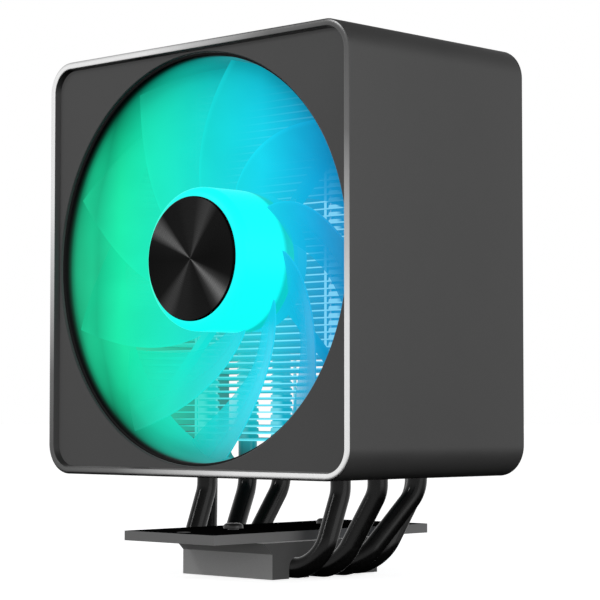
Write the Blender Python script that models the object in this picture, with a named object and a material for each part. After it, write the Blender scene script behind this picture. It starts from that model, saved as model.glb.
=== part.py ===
"""Tower cooler for a processor: a fin stack on four heat pipes, inside a square shroud with a 120 mm fan.

Units are metres. +Z is up and the fan blows towards +Y. The cold plate stands on Z = 0, and
X = Y = 0 is the middle of the shroud's footprint. The fan turns about an axis along Y.
"""

import math

import bmesh
import bpy
from mathutils import Matrix, Vector

GAP = 0.0003                  # between two pieces that touch

# Shroud
SHELL_WIDTH = 0.1256
SHELL_HEIGHT = 0.1260
SHELL_DEPTH = 0.0756
SHELL_WALL = 0.0021
SHELL_CORNER_RADIUS = 0.0091
SHELL_BOTTOM_Z = 0.0292       # the shroud's underside above the cold plate's contact face
PIPE_SLOT_MARGIN = 0.0015     # round the heat pipes where they pass the shroud's floor
POST_WIDTH = 0.0080           # screw posts that hold the fin stack's brackets
POST_DEPTH = 0.0060
POST_X = 0.0150                # either side of the middle, clear of the heat pipes
POST_HOLE_RADIUS = 0.0017
POST_HOLE_END = 0.0015        # solid left at the front of a post's hole

# Front panel
PANEL_RECESS = 0.0021         # behind the shroud's polished rim
PANEL_THICKNESS = 0.0008
PANEL_OPENING_MARGIN = 0.0008  # round the fan frame's throat
BOSS_RADIUS = 0.0033
BOSS_LENGTH = 0.0036

# Fan frame
FRAME_CLEARANCE = 0.0005      # to the inside of the shroud, so a 120.4 mm square
FRAME_DEPTH = 0.0250
FRAME_CORNER_RADIUS = 0.0070
THROAT_WALL = 0.0011          # the frame's wall at its thinnest
FLANGE_THICKNESS = 0.0040
SCREW_INSET = 0.0077          # holes 105 mm apart, as on every 120 mm fan
FRAME_BARREL_WALL = 0.0016
STRUT_COUNT = 4
STRUT_WIDTH = 0.0036
STRUT_DEPTH = 0.0026
MOTOR_MOUNT_RADIUS = 0.0205
MOTOR_MOUNT_DEPTH = 0.0050
BEARING_TUBE_RADIUS = 0.0045
PAD_SIZE = 0.0095
PAD_THICKNESS = 0.0010

# Fan rotor and motor
HUB_RADIUS = 0.0210
HUB_WALL = 0.0012
HUB_FRONT_WALL = 0.0015
HUB_REAR_GAP = 0.0010         # from the hub's open end to the motor mount
HUB_EDGE_RADIUS = 0.0026
HUB_INNER_CHAMFER = 0.0012
HUB_BOSS_LENGTH = 0.0032      # holds the shaft behind the hub's front wall
CAP_RADIUS = 0.0181
CAP_THICKNESS = 0.0008
BLADE_COUNT = 9
BLADE_TIP_CLEARANCE = 0.0009
BLADE_THICKNESS = 0.0016
BLADE_PHASE = 46.3            # degrees, front edge of the first blade at the hub
BLADE_SWEEP = 62.2            # degrees that the front edge falls back by at the tip, less the next
BLADE_SWEEP_EASE = 15.0
BLADE_TWIST = 33.8            # degrees that one blade covers at the hub and at the tip
BLADE_TWIST_BULGE = 3.8       # and this many more half way out
BLADE_ROOT_FRONT = 0.0160     # front edge behind the hub's front face, at the hub
BLADE_TIP_FRONT = 0.0049
BLADE_REAR_GAP = 0.0012       # rear edge to the frame's struts
BLADE_ROOT_INSET = 0.0003     # rear edge at the hub, inside the hub's open end
BLADE_REAR_SPREAD = 0.30      # share of the blade's length over which its rear edge reaches full depth
BLADE_BOW = 0.05
YOKE_WALL = 0.0008
YOKE_INSET = 0.0010           # inside the hub's open end
YOKE_BEND = 0.0012
MAGNET_THICKNESS = 0.0020
MAGNET_FRONT_GAP = 0.0039     # behind the yoke's front wall
MAGNET_INSET = 0.0004         # inside the yoke's open end
SHAFT_RADIUS = 0.0015
SLEEVE_RADIUS = 0.0030
CLIP_RADIUS = 0.0026
CLIP_THICKNESS = 0.0004
CLIP_GROOVE = 0.0008
CLIP_GROOVE_DEPTH = 0.0005
SHAFT_END = 0.0005            # past the clip's groove
BEARING_TUBE_GAP = 0.0045     # from the hub's front wall to the bearing tube
SLEEVE_GAP = 0.0047           # from the hub's front wall to the sleeve
STATOR_GAP = 0.0065           # from the hub's front wall to the stator's core
STATOR_BOARD_GAP = 0.0012     # from the windings to the lamps on the board
STATOR_RING = 0.0022
POLE_COUNT = 4
POLE_WIDTH = 0.0042
SHOE_WIDTH = 0.0110
SHOE_THICKNESS = 0.0014
AIR_GAP = 0.0006              # between the stator's shoes and the magnets
COIL_BUILD = 0.0022           # thickness of the winding round a pole
BOARD_THICKNESS = 0.0012
BOARD_INSET = 0.0022          # inside the yoke
LED_COUNT = 8
LED_SIZE = 0.0030
LED_HEIGHT = 0.0009

# Fin stack
FIN_SIDE_GAP = 0.0020         # to the shroud's side walls
FIN_REAR_INSET = 0.0033       # from the shroud's rear edge
FIN_END_SPACE = 0.0075        # at least, to the shroud's floor and roof
FIN_THICKNESS = 0.0008
FIN_PITCH = 0.0042
FIN_TAB_WIDTH = 0.0042
FIN_TAB_DEPTH = 0.0008
FIN_TAB_X = (-0.0253, 0.0253)
BRACKET_THICKNESS = 0.0010

# Heat pipes
PIPE_RADIUS = 0.0030
PIPE_PITCH = 0.0084           # across the cold plate
PIPE_LEG_INNER_X = 0.0280
PIPE_LEG_SPACE = 0.0015       # between inner and outer legs, across the cooler
PIPE_LEG_INSET = 0.0055       # from the fins' front and rear edges to the inner legs
PIPE_LEG_OUTER_SHARE = 0.53   # outer legs' distance from the fins' middle, as a share of the inner legs'
PIPE_ELBOW_OUT = 0.0090       # the lower bend's corner, outside the base block
PIPE_LOWER_BEND = 0.0095
PIPE_UPPER_BEND = 0.0100
PIPE_UPPER_BEND_DROP = 0.0045  # the upper bend's corner, under the shroud
PIPE_ABOVE_FINS = 0.0022

# Base block and mounting plate
BASE_WIDTH = 0.0373
BASE_DEPTH = 0.0448
BASE_SIDE_HEIGHT = 0.0072
BASE_FLARE = 0.0035
PLATE_WIDTH = 0.0374
PLATE_LENGTH = 0.0912
PLATE_THICKNESS = 0.0028
PLATE_BOTTOM_Z = 0.0108
PLATE_HOLE_RADIUS = 0.0021
PLATE_HOLE_INSET = 0.0060
PLATE_SCREW_SPACE = 0.0042    # from the outer pipes' sides to the plate's screws
BASE_HOLE_DEPTH = 0.0055
BRACKET_TAB_SPACE = 0.0006    # from a bracket's tab to the shroud

# Screws: shank radius, head radius, head height
FAN_SCREW = (0.0014, 0.0042, 0.0020)
BRACKET_SCREW = (0.0014, 0.0028, 0.0016)
BRACKET_SCREW_LENGTH = 0.0052
PLATE_SCREW = (0.0015, 0.0029, 0.0016)
PLATE_SCREW_REACH = 0.0045    # past the plate's thickness
CUT_PAST = 0.0100             # how far a cutter runs past what it cuts

# Places that follow from the sizes above
FRONT_Y = -SHELL_DEPTH / 2
INNER_WIDTH = SHELL_WIDTH - 2 * SHELL_WALL
INNER_HEIGHT = SHELL_HEIGHT - 2 * SHELL_WALL
INNER_CORNER_RADIUS = SHELL_CORNER_RADIUS - SHELL_WALL
HUB_Z = SHELL_BOTTOM_Z + SHELL_HEIGHT / 2
FLOOR_TOP_Z = SHELL_BOTTOM_Z + SHELL_WALL
ROOF_Z = FLOOR_TOP_Z + INNER_HEIGHT
FRAME_SIZE = min(INNER_WIDTH, INNER_HEIGHT) - 2 * FRAME_CLEARANCE
SCREW_SPACING = FRAME_SIZE - 2 * SCREW_INSET
THROAT_RADIUS = FRAME_SIZE / 2 - THROAT_WALL
PANEL_OPENING_RADIUS = THROAT_RADIUS + PANEL_OPENING_MARGIN
PANEL_Y = FRONT_Y + PANEL_RECESS
FRAME_Y = PANEL_Y + PANEL_THICKNESS + GAP
FRAME_BACK_Y = FRAME_Y + FRAME_DEPTH
FRAME_SCREW_Y = FRAME_Y + FLANGE_THICKNESS
CAP_Y = FRONT_Y + GAP
HUB_Y = CAP_Y + CAP_THICKNESS + GAP
HUB_WALL_BACK_Y = HUB_Y + HUB_FRONT_WALL
STRUT_Y = FRAME_BACK_Y - STRUT_DEPTH
MOTOR_MOUNT_Y = FRAME_BACK_Y - MOTOR_MOUNT_DEPTH
HUB_BACK_Y = MOTOR_MOUNT_Y - HUB_REAR_GAP
BOARD_BACK_Y = MOTOR_MOUNT_Y - GAP
BOARD_Y = BOARD_BACK_Y - BOARD_THICKNESS
STATOR_Y = HUB_WALL_BACK_Y + STATOR_GAP
STATOR_BACK_Y = BOARD_Y - LED_HEIGHT - STATOR_BOARD_GAP - COIL_BUILD - GAP
MAGNET_RADIUS = HUB_RADIUS - HUB_WALL - GAP - YOKE_WALL - GAP
FIN_Y = FRAME_BACK_Y + GAP
FIN_BACK_Y = FRONT_Y + SHELL_DEPTH - FIN_REAR_INSET
FIN_CENTRE_Y = (FIN_Y + FIN_BACK_Y) / 2
FIN_WIDTH = INNER_WIDTH - 2 * FIN_SIDE_GAP
FIN_COUNT = 1 + int((INNER_HEIGHT - 2 * FIN_END_SPACE - FIN_THICKNESS) / FIN_PITCH)
FIN_STACK_HEIGHT = (FIN_COUNT - 1) * FIN_PITCH + FIN_THICKNESS
FIN_BOTTOM_Z = HUB_Z - FIN_STACK_HEIGHT / 2
FIN_TOP_Z = FIN_BOTTOM_Z + FIN_STACK_HEIGHT
PIPE_BASE_Z = PIPE_RADIUS
PIPE_LEG_INNER_Y = FIN_BACK_Y - PIPE_LEG_INSET - FIN_CENTRE_Y
PIPE_LEG_OUTER_Y = PIPE_LEG_INNER_Y * PIPE_LEG_OUTER_SHARE
PIPE_LEG_OUTER_X = PIPE_LEG_INNER_X + 2 * PIPE_RADIUS + PIPE_LEG_SPACE
PIPE_TOP_Z = FIN_TOP_Z + PIPE_ABOVE_FINS
PLATE_TOP_Z = PLATE_BOTTOM_Z + PLATE_THICKNESS
BASE_TOP_Z = PLATE_BOTTOM_Z - GAP
BRACKET_Y = FIN_BACK_Y - BRACKET_THICKNESS
BRACKET_FOOT_Y = FIN_BACK_Y - PIPE_LEG_INSET + PIPE_RADIUS + GAP
POST_BACK_Y = BRACKET_Y - GAP


def clear_scene():
    for thing in list(bpy.data.objects):
        bpy.data.objects.remove(thing, do_unlink=True)


def make_material(name, colour, roughness, metallic=0.0, transmission=0.0):
    material = bpy.data.materials.new(name)
    material.use_nodes = True
    shader = material.node_tree.nodes["Principled BSDF"]
    shader.inputs["Base Color"].default_value = (*colour, 1.0)
    shader.inputs["Roughness"].default_value = roughness
    shader.inputs["Metallic"].default_value = metallic
    shader.inputs["Transmission Weight"].default_value = transmission
    material.diffuse_color = (*colour, 1.0)
    return material


def make_object(name, bm, material, smooth=False):
    bmesh.ops.recalc_face_normals(bm, faces=bm.faces)
    mesh = bpy.data.meshes.new(name)
    bm.to_mesh(mesh)
    bm.free()
    if smooth:
        mesh.shade_smooth()
        mesh.set_sharp_from_angle(angle=math.radians(35))
    mesh.materials.append(material)
    thing = bpy.data.objects.new(name, mesh)
    bpy.context.scene.collection.objects.link(thing)
    return thing


def combine(target, helper, operation):
    """Joins, or cuts, target by a helper object that stays out of the model."""
    helper.hide_render = True
    helper.display_type = "WIRE"
    modifier = target.modifiers.new(operation.lower() + "_" + helper.name, "BOOLEAN")
    modifier.operation = operation
    modifier.object = helper
    modifier.solver = "EXACT"


def add_prism(bm, outline, start, end, axis="Y"):
    """A straight solid over an outline: (x, z) points when it runs along Y, (x, y) along Z, (y, z) along X."""
    place = {
        "Y": lambda point, along: (point[0], along, point[1]),
        "Z": lambda point, along: (point[0], point[1], along),
        "X": lambda point, along: (along, point[0], point[1]),
    }[axis]
    rings = [[bm.verts.new(place(point, along)) for point in outline] for along in (start, end)]
    bm.faces.new(rings[0])
    bm.faces.new(rings[1])
    for index in range(len(outline)):
        after = (index + 1) % len(outline)
        bm.faces.new((rings[0][index], rings[0][after], rings[1][after], rings[1][index]))


def add_box(bm, low, high):
    outline = [(low[0], low[1]), (high[0], low[1]), (high[0], high[1]), (low[0], high[1])]
    add_prism(bm, outline, low[2], high[2], "Z")


def rectangle(width, height, radius, centre=(0.0, 0.0), steps=6):
    """The outline of a rectangle with rounded corners."""
    outline = []
    for turn, (side_x, side_z) in enumerate(((1, 1), (-1, 1), (-1, -1), (1, -1))):
        corner_x = centre[0] + side_x * (width / 2 - radius)
        corner_z = centre[1] + side_z * (height / 2 - radius)
        for step in range(steps + 1):
            angle = math.radians(90 * (turn + step / steps))
            outline.append((corner_x + radius * math.cos(angle), corner_z + radius * math.sin(angle)))
    return outline


def circle(radius, centre=(0.0, 0.0), sides=24):
    turns = [2 * math.pi * index / sides for index in range(sides)]
    return [(centre[0] + radius * math.cos(turn), centre[1] + radius * math.sin(turn)) for turn in turns]


def add_turned(bm, profile, sides, centre=(0.0, 0.0)):
    """Turns a closed profile of (radius, y) points about an axis along Y through centre."""
    rings = []
    for radius, along in profile:
        if radius == 0:
            rings.append([bm.verts.new((centre[0], along, centre[1]))])
        else:
            rings.append([bm.verts.new((x, along, z)) for x, z in circle(radius, centre, sides)])
    for index, ring in enumerate(rings):
        after = rings[(index + 1) % len(rings)]
        if len(ring) == 1 and len(after) == 1:
            continue
        for side in range(sides):
            far = (side + 1) % sides
            corners = [ring[side % len(ring)], ring[far % len(ring)]]
            corners += [after[far % len(after)], after[side % len(after)]]
            bm.faces.new(list(dict.fromkeys(corners)))


def turned(name, profile, material, sides=32, centre=(0.0, HUB_Z)):
    bm = bmesh.new()
    add_turned(bm, profile, sides, centre)
    return make_object(name, bm, material, smooth=True)


def tube(inner, outer, start, end):
    return [(inner, start), (outer, start), (outer, end), (inner, end)]


def fan_corners():
    half = SCREW_SPACING / 2
    return [(side_x * half, HUB_Z + side_z * half) for side_z in (1, -1) for side_x in (-1, 1)]


def bracket_sides():
    """(name, z of the bracket's foot, z of the shroud's wall, direction from foot to wall)."""
    return (("top", FIN_TOP_Z + GAP, ROOF_Z, 1), ("bottom", FIN_BOTTOM_Z - GAP, FLOOR_TOP_Z, -1))


def bracket_screw_z(foot_z, wall_z):
    return (foot_z + wall_z) / 2


def build_shell(material):
    bm = bmesh.new()
    outline = rectangle(SHELL_WIDTH, SHELL_HEIGHT, SHELL_CORNER_RADIUS, (0.0, HUB_Z), 8)
    add_prism(bm, outline, FRONT_Y, FRONT_Y + SHELL_DEPTH)
    shell = make_object("shroud_shell", bm, material, smooth=True)

    bm = bmesh.new()
    outline = rectangle(INNER_WIDTH, INNER_HEIGHT, INNER_CORNER_RADIUS, (0.0, HUB_Z), 8)
    add_prism(bm, outline, FRONT_Y - CUT_PAST, FRONT_Y + SHELL_DEPTH + CUT_PAST)
    combine(shell, make_object("shell_bore", bm, material), "DIFFERENCE")

    bm = bmesh.new()
    for side in (-1, 1):
        inner = PIPE_LEG_INNER_X - PIPE_RADIUS - PIPE_SLOT_MARGIN
        outer = PIPE_LEG_OUTER_X + PIPE_RADIUS + PIPE_SLOT_MARGIN
        length = 2 * (PIPE_LEG_INNER_Y + PIPE_RADIUS + PIPE_SLOT_MARGIN)
        centre = (side * (inner + outer) / 2, FIN_CENTRE_Y)
        outline = rectangle(outer - inner, length, PIPE_RADIUS, centre, 4)
        add_prism(bm, outline, SHELL_BOTTOM_Z - SHELL_WALL, FLOOR_TOP_Z + SHELL_WALL, "Z")
    combine(shell, make_object("pipe_slots", bm, material), "DIFFERENCE")

    bm = bmesh.new()
    for _, foot_z, wall_z, way in bracket_sides():
        for side in (-1, 1):
            ends = sorted((foot_z + way * (BRACKET_THICKNESS + GAP), wall_z + way * SHELL_WALL / 2))
            low = (side * POST_X - POST_WIDTH / 2, POST_BACK_Y - POST_DEPTH, ends[0])
            high = (side * POST_X + POST_WIDTH / 2, POST_BACK_Y, ends[1])
            add_box(bm, low, high)
    combine(shell, make_object("screw_posts", bm, material), "UNION")

    bm = bmesh.new()
    for _, foot_z, wall_z, _ in bracket_sides():
        for side in (-1, 1):
            hole = circle(POST_HOLE_RADIUS, (side * POST_X, bracket_screw_z(foot_z, wall_z)), 12)
            add_prism(bm, hole, POST_BACK_Y - POST_DEPTH + POST_HOLE_END, POST_BACK_Y + CUT_PAST)
    combine(shell, make_object("post_holes", bm, material), "DIFFERENCE")


def build_front_panel(material):
    bm = bmesh.new()
    width = INNER_WIDTH - 2 * GAP
    height = INNER_HEIGHT - 2 * GAP
    outline = rectangle(width, height, INNER_CORNER_RADIUS - GAP, (0.0, HUB_Z), 6)
    add_prism(bm, outline, PANEL_Y, PANEL_Y + PANEL_THICKNESS)
    panel = make_object("front_panel", bm, material)

    bm = bmesh.new()
    opening = circle(PANEL_OPENING_RADIUS, (0.0, HUB_Z), 60)
    add_prism(bm, opening, PANEL_Y - CUT_PAST, PANEL_Y + CUT_PAST)
    combine(panel, make_object("panel_opening", bm, material), "DIFFERENCE")

    bm = bmesh.new()
    for corner in fan_corners():
        add_prism(bm, circle(BOSS_RADIUS, corner, 16), PANEL_Y + PANEL_THICKNESS / 2,
                  PANEL_Y + PANEL_THICKNESS + BOSS_LENGTH)
    combine(panel, make_object("panel_bosses", bm, material), "UNION")

    bm = bmesh.new()
    for corner in fan_corners():
        add_prism(bm, circle(FAN_SCREW[0] + GAP, corner, 12), PANEL_Y + PANEL_THICKNESS,
                  PANEL_Y + PANEL_THICKNESS + BOSS_LENGTH + CUT_PAST)
    combine(panel, make_object("boss_holes", bm, material), "DIFFERENCE")


def build_fan_frame(material):
    outline = rectangle(FRAME_SIZE, FRAME_SIZE, FRAME_CORNER_RADIUS, (0.0, HUB_Z), 4)
    bm = bmesh.new()
    add_prism(bm, outline, FRAME_Y, FRAME_Y + FLANGE_THICKNESS)
    frame = make_object("fan_frame", bm, material)

    bm = bmesh.new()
    add_prism(bm, outline, FRAME_BACK_Y - PAD_THICKNESS - FLANGE_THICKNESS, FRAME_BACK_Y - PAD_THICKNESS)
    combine(frame, make_object("rear_flange", bm, material), "UNION")

    bm = bmesh.new()
    barrel_radius = THROAT_RADIUS + FRAME_BARREL_WALL
    add_prism(bm, circle(barrel_radius, (0.0, HUB_Z), 60), FRAME_Y + FLANGE_THICKNESS / 2, FRAME_BACK_Y)
    combine(frame, make_object("frame_barrel", bm, material), "UNION")

    bm = bmesh.new()
    add_prism(bm, outline, FRAME_Y - CUT_PAST, FRAME_BACK_Y + CUT_PAST)
    combine(frame, make_object("frame_outside", bm, material), "INTERSECT")

    bm = bmesh.new()
    throat = circle(THROAT_RADIUS, (0.0, HUB_Z), 60)
    add_prism(bm, throat, FRAME_Y - CUT_PAST, FRAME_BACK_Y + CUT_PAST)
    combine(frame, make_object("frame_throat", bm, material), "DIFFERENCE")

    bm = bmesh.new()
    for corner in fan_corners():
        hole = circle(BOSS_RADIUS + GAP, corner, 16)
        add_prism(bm, hole, FRAME_Y - CUT_PAST, FRAME_BACK_Y + CUT_PAST)
    combine(frame, make_object("frame_holes", bm, material), "DIFFERENCE")

    bm = bmesh.new()
    reach = THROAT_RADIUS + FRAME_BARREL_WALL / 2
    for index in range(STRUT_COUNT):
        turn = Matrix.Rotation(math.radians(45 + 360 * index / STRUT_COUNT), 4, "Y")
        first = len(bm.verts)
        half = STRUT_WIDTH / 2
        add_box(bm, (MOTOR_MOUNT_RADIUS * 0.8, STRUT_Y, -half), (reach, FRAME_BACK_Y, half))
        bm.verts.ensure_lookup_table()
        for vert in bm.verts[first:]:
            vert.co = turn @ vert.co + Vector((0.0, 0.0, HUB_Z))
    combine(frame, make_object("frame_struts", bm, material), "UNION")

    bm = bmesh.new()
    tube_front = HUB_WALL_BACK_Y + BEARING_TUBE_GAP
    sleeve_hole = SLEEVE_RADIUS + GAP
    profile = [
        (0, FRAME_BACK_Y), (0, MOTOR_MOUNT_Y), (sleeve_hole, MOTOR_MOUNT_Y), (sleeve_hole, tube_front),
        (BEARING_TUBE_RADIUS, tube_front), (BEARING_TUBE_RADIUS, MOTOR_MOUNT_Y),
        (MOTOR_MOUNT_RADIUS, MOTOR_MOUNT_Y), (MOTOR_MOUNT_RADIUS, FRAME_BACK_Y),
    ]
    add_turned(bm, profile, 32, (0.0, HUB_Z))
    combine(frame, make_object("motor_mount", bm, material), "UNION")


def build_fan_pads(material):
    start = FRAME_BACK_Y - PAD_THICKNESS + GAP
    for index, corner in enumerate(fan_corners(), 1):
        bm = bmesh.new()
        add_prism(bm, rectangle(PAD_SIZE, PAD_SIZE, 0.002, corner, 3), start, FRAME_BACK_Y)
        make_object(f"fan_pad_{index}", bm, material)


def build_screw(name, place, sizes, direction, length, material):
    """A round-headed screw: its head's underside is at place, and its shank points along direction."""
    shank, head, height = sizes
    profile = [(0, -height), (head * 0.7, -height), (head, -height * 0.6), (head, 0), (shank, 0),
               (shank, length), (0, length)]
    bm = bmesh.new()
    add_turned(bm, profile, 16)
    screw = make_object(name, bm, material, smooth=True)
    screw.location = place
    screw.rotation_euler = Vector((0, 1, 0)).rotation_difference(Vector(direction)).to_euler()


def build_fan_screws(material):
    for index, (x, z) in enumerate(fan_corners(), 1):
        place = (x, FRAME_SCREW_Y + GAP, z)
        build_screw(f"fan_screw_{index}", place, FAN_SCREW, (0, -1, 0), FLANGE_THICKNESS, material)


def blade_point(radius, along, offset, tip_radius):
    """A point of the first blade's skin. along runs from its front edge, 0, to its rear edge, 1."""
    share = max(0.0, (radius - HUB_RADIUS) / (tip_radius - HUB_RADIUS))
    twist = BLADE_TWIST + BLADE_TWIST_BULGE * 4 * share * (1 - share)
    front = BLADE_PHASE - BLADE_SWEEP * share + BLADE_SWEEP_EASE * share ** 2
    angle = math.radians(front - twist * along)
    front_y = HUB_Y + BLADE_ROOT_FRONT + (BLADE_TIP_FRONT - BLADE_ROOT_FRONT) * share
    root_y = HUB_BACK_Y - BLADE_ROOT_INSET
    rear_y = root_y + (STRUT_Y - BLADE_REAR_GAP - root_y) * min(1.0, share / BLADE_REAR_SPREAD)
    bow = BLADE_BOW * math.sin(math.pi * along)
    y = front_y + (rear_y - front_y) * (along + bow)
    normal = offset * BLADE_THICKNESS / 2 * math.sqrt(max(0.06, math.sin(math.pi * min(1.0, along + 0.02))))
    return Vector((radius * math.cos(angle), y + normal, HUB_Z + radius * math.sin(angle)))


def build_rotor(material):
    edge = HUB_EDGE_RADIUS
    inside = HUB_RADIUS - HUB_WALL
    boss = BEARING_TUBE_RADIUS * 0.8
    boss_end = HUB_WALL_BACK_Y + HUB_BOSS_LENGTH
    profile = [(0, HUB_WALL_BACK_Y), (0, HUB_Y)]
    for step in range(5):
        angle = math.radians(90 * step / 4)
        profile.append((HUB_RADIUS - edge + edge * math.sin(angle), HUB_Y + edge - edge * math.cos(angle)))
    profile += [(HUB_RADIUS, HUB_BACK_Y), (inside, HUB_BACK_Y), (inside, HUB_WALL_BACK_Y + HUB_INNER_CHAMFER),
                (inside - HUB_INNER_CHAMFER, HUB_WALL_BACK_Y), (boss, HUB_WALL_BACK_Y), (boss, boss_end),
                (SHAFT_RADIUS + GAP, boss_end), (SHAFT_RADIUS + GAP, HUB_WALL_BACK_Y)]
    rotor = turned("fan_rotor", profile, material, 48)

    tip_radius = THROAT_RADIUS - BLADE_TIP_CLEARANCE
    root_radius = HUB_RADIUS - HUB_WALL / 2
    spans = 5
    chords = 4
    bm = bmesh.new()
    for blade in range(BLADE_COUNT):
        turn = Matrix.Translation((0, 0, HUB_Z)) @ Matrix.Rotation(2 * math.pi * blade / BLADE_COUNT, 4, "Y")
        turn = turn @ Matrix.Translation((0, 0, -HUB_Z))
        skins = []
        for offset in (-1, 1):
            rows = []
            for span in range(spans + 1):
                radius = root_radius + (tip_radius - root_radius) * span / spans
                row = [bm.verts.new(turn @ blade_point(radius, chord / chords, offset, tip_radius))
                       for chord in range(chords + 1)]
                rows.append(row)
            skins.append(rows)
        for rows in skins:
            for span in range(spans):
                for chord in range(chords):
                    bm.faces.new((rows[span][chord], rows[span][chord + 1],
                                  rows[span + 1][chord + 1], rows[span + 1][chord]))
        rim = [(span, 0) for span in range(spans)] + [(spans, chord) for chord in range(chords)]
        rim += [(spans - span, chords) for span in range(spans)]
        rim += [(0, chords - chord) for chord in range(chords)]
        for index, (span, chord) in enumerate(rim):
            far_span, far_chord = rim[(index + 1) % len(rim)]
            bm.faces.new((skins[0][span][chord], skins[0][far_span][far_chord],
                          skins[1][far_span][far_chord], skins[1][span][chord]))
    combine(rotor, make_object("rotor_blades", bm, material), "UNION")


def build_rotor_fittings(materials):
    back = CAP_Y + CAP_THICKNESS
    turned("hub_cap", [(0, back), (0, CAP_Y), (CAP_RADIUS - 0.0003, CAP_Y), (CAP_RADIUS, CAP_Y + 0.0003),
                       (CAP_RADIUS, back)], materials["spun_metal"], 64)
    yoke_radius = HUB_RADIUS - HUB_WALL - GAP
    yoke_front = HUB_WALL_BACK_Y + GAP
    yoke_back = HUB_BACK_Y - YOKE_INSET
    yoke_bore = yoke_radius - YOKE_WALL
    bend_end = yoke_front + YOKE_BEND
    eye = BEARING_TUBE_RADIUS + GAP
    turned("rotor_yoke", [
        (eye, yoke_front), (yoke_radius - YOKE_BEND, yoke_front), (yoke_radius, bend_end),
        (yoke_radius, yoke_back), (yoke_bore, yoke_back), (yoke_bore, bend_end + YOKE_WALL / 4),
        (yoke_radius - YOKE_BEND - YOKE_WALL / 2, yoke_front + YOKE_WALL),
        (eye, yoke_front + YOKE_WALL)], materials["steel"], 40)
    magnet_front = yoke_front + YOKE_WALL + MAGNET_FRONT_GAP
    turned("magnet_ring", tube(MAGNET_RADIUS - MAGNET_THICKNESS, MAGNET_RADIUS, magnet_front,
                               yoke_back - MAGNET_INSET), materials["ferrite"], 40)
    groove = MOTOR_MOUNT_Y - 2 * CLIP_GROOVE
    groove_end = groove + CLIP_GROOVE
    neck = SHAFT_RADIUS - CLIP_GROOVE_DEPTH
    turned("rotor_shaft", [
        (0, yoke_front), (SHAFT_RADIUS, yoke_front), (SHAFT_RADIUS, groove), (neck, groove),
        (neck, groove_end), (SHAFT_RADIUS, groove_end), (SHAFT_RADIUS, groove_end + SHAFT_END),
        (0, groove_end + SHAFT_END)], materials["steel"], 20)
    clip_front = groove + (CLIP_GROOVE - CLIP_THICKNESS) / 2
    turned("shaft_clip", tube(neck + CLIP_THICKNESS / 2, CLIP_RADIUS, clip_front, clip_front + CLIP_THICKNESS),
           materials["steel"], 20)
    turned("bearing_sleeve", tube(SHAFT_RADIUS + GAP, SLEEVE_RADIUS, HUB_WALL_BACK_Y + SLEEVE_GAP,
                                  groove - GAP), materials["brass"], 24)


def pole_outline(inner, reach):
    """(radius, side) outline of one stator pole with its shoe."""
    half = POLE_WIDTH / 2
    shoe = SHOE_WIDTH / 2
    face = reach + SHOE_THICKNESS
    return [(inner, -half), (reach, -half), (reach, -shoe), (face, -shoe),
            (face, shoe), (reach, shoe), (reach, half), (inner, half)]


def shoe_reach():
    """Radius at which a pole widens into its shoe, whose corners keep the air gap."""
    tips = MAGNET_RADIUS - MAGNET_THICKNESS - AIR_GAP
    return math.sqrt(tips ** 2 - (SHOE_WIDTH / 2) ** 2) - SHOE_THICKNESS


def build_stator(materials):
    core_radius = BEARING_TUBE_RADIUS + GAP + STATOR_RING
    stator = turned("stator_core", tube(BEARING_TUBE_RADIUS + GAP, core_radius, STATOR_Y, STATOR_BACK_Y),
                    materials["steel"], 24)
    reach = shoe_reach()
    bm = bmesh.new()
    for pole in range(POLE_COUNT):
        turn = Matrix.Rotation(2 * math.pi * pole / POLE_COUNT, 3, "Y")
        outline = [turn @ Vector((x, 0, z)) for x, z in pole_outline(core_radius - STATOR_RING / 2, reach)]
        flat = [(point.x, HUB_Z + point.z) for point in outline]
        add_prism(bm, flat, STATOR_Y, STATOR_BACK_Y)
    combine(stator, make_object("stator_poles", bm, materials["steel"]), "UNION")

    inner = core_radius + GAP
    outer = reach - GAP
    for pole in range(POLE_COUNT):
        bm = bmesh.new()
        hole = POLE_WIDTH / 2 + GAP
        side = hole + min(COIL_BUILD, inner * 0.9 - hole)
        low = STATOR_Y - GAP
        high = STATOR_BACK_Y + GAP
        rings = []
        for radius in (inner, outer):
            for half, start, end in ((side, low - COIL_BUILD, high + COIL_BUILD), (hole, low, high)):
                corners = ((-half, start), (half, start), (half, end), (-half, end))
                rings.append([bm.verts.new((radius, y, z)) for z, y in corners])
        for first, second in ((0, 1), (2, 3), (0, 2), (1, 3)):
            for corner in range(4):
                after = (corner + 1) % 4
                bm.faces.new((rings[first][corner], rings[first][after],
                              rings[second][after], rings[second][corner]))
        coil = make_object(f"stator_coil_{pole + 1}", bm, materials["copper"])
        coil.location = (0, 0, HUB_Z)
        coil.rotation_euler = (0, 2 * math.pi * pole / POLE_COUNT, 0)


def build_circuit_board(material):
    board_radius = HUB_RADIUS - HUB_WALL - YOKE_WALL - BOARD_INSET
    board = turned("fan_circuit_board", tube(BEARING_TUBE_RADIUS + GAP, board_radius, BOARD_Y, BOARD_BACK_Y),
                   material, 32)
    bm = bmesh.new()
    place = board_radius - LED_SIZE * 0.8
    for index in range(LED_COUNT):
        angle = 2 * math.pi * (index + 0.5) / LED_COUNT
        centre = (place * math.cos(angle), HUB_Z + place * math.sin(angle))
        lamp = rectangle(LED_SIZE, LED_SIZE, LED_SIZE * 0.1, centre, 1)
        add_prism(bm, lamp, BOARD_Y - LED_HEIGHT, BOARD_Y + BOARD_THICKNESS / 3)
    combine(board, make_object("board_lamps", bm, material), "UNION")


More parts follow.
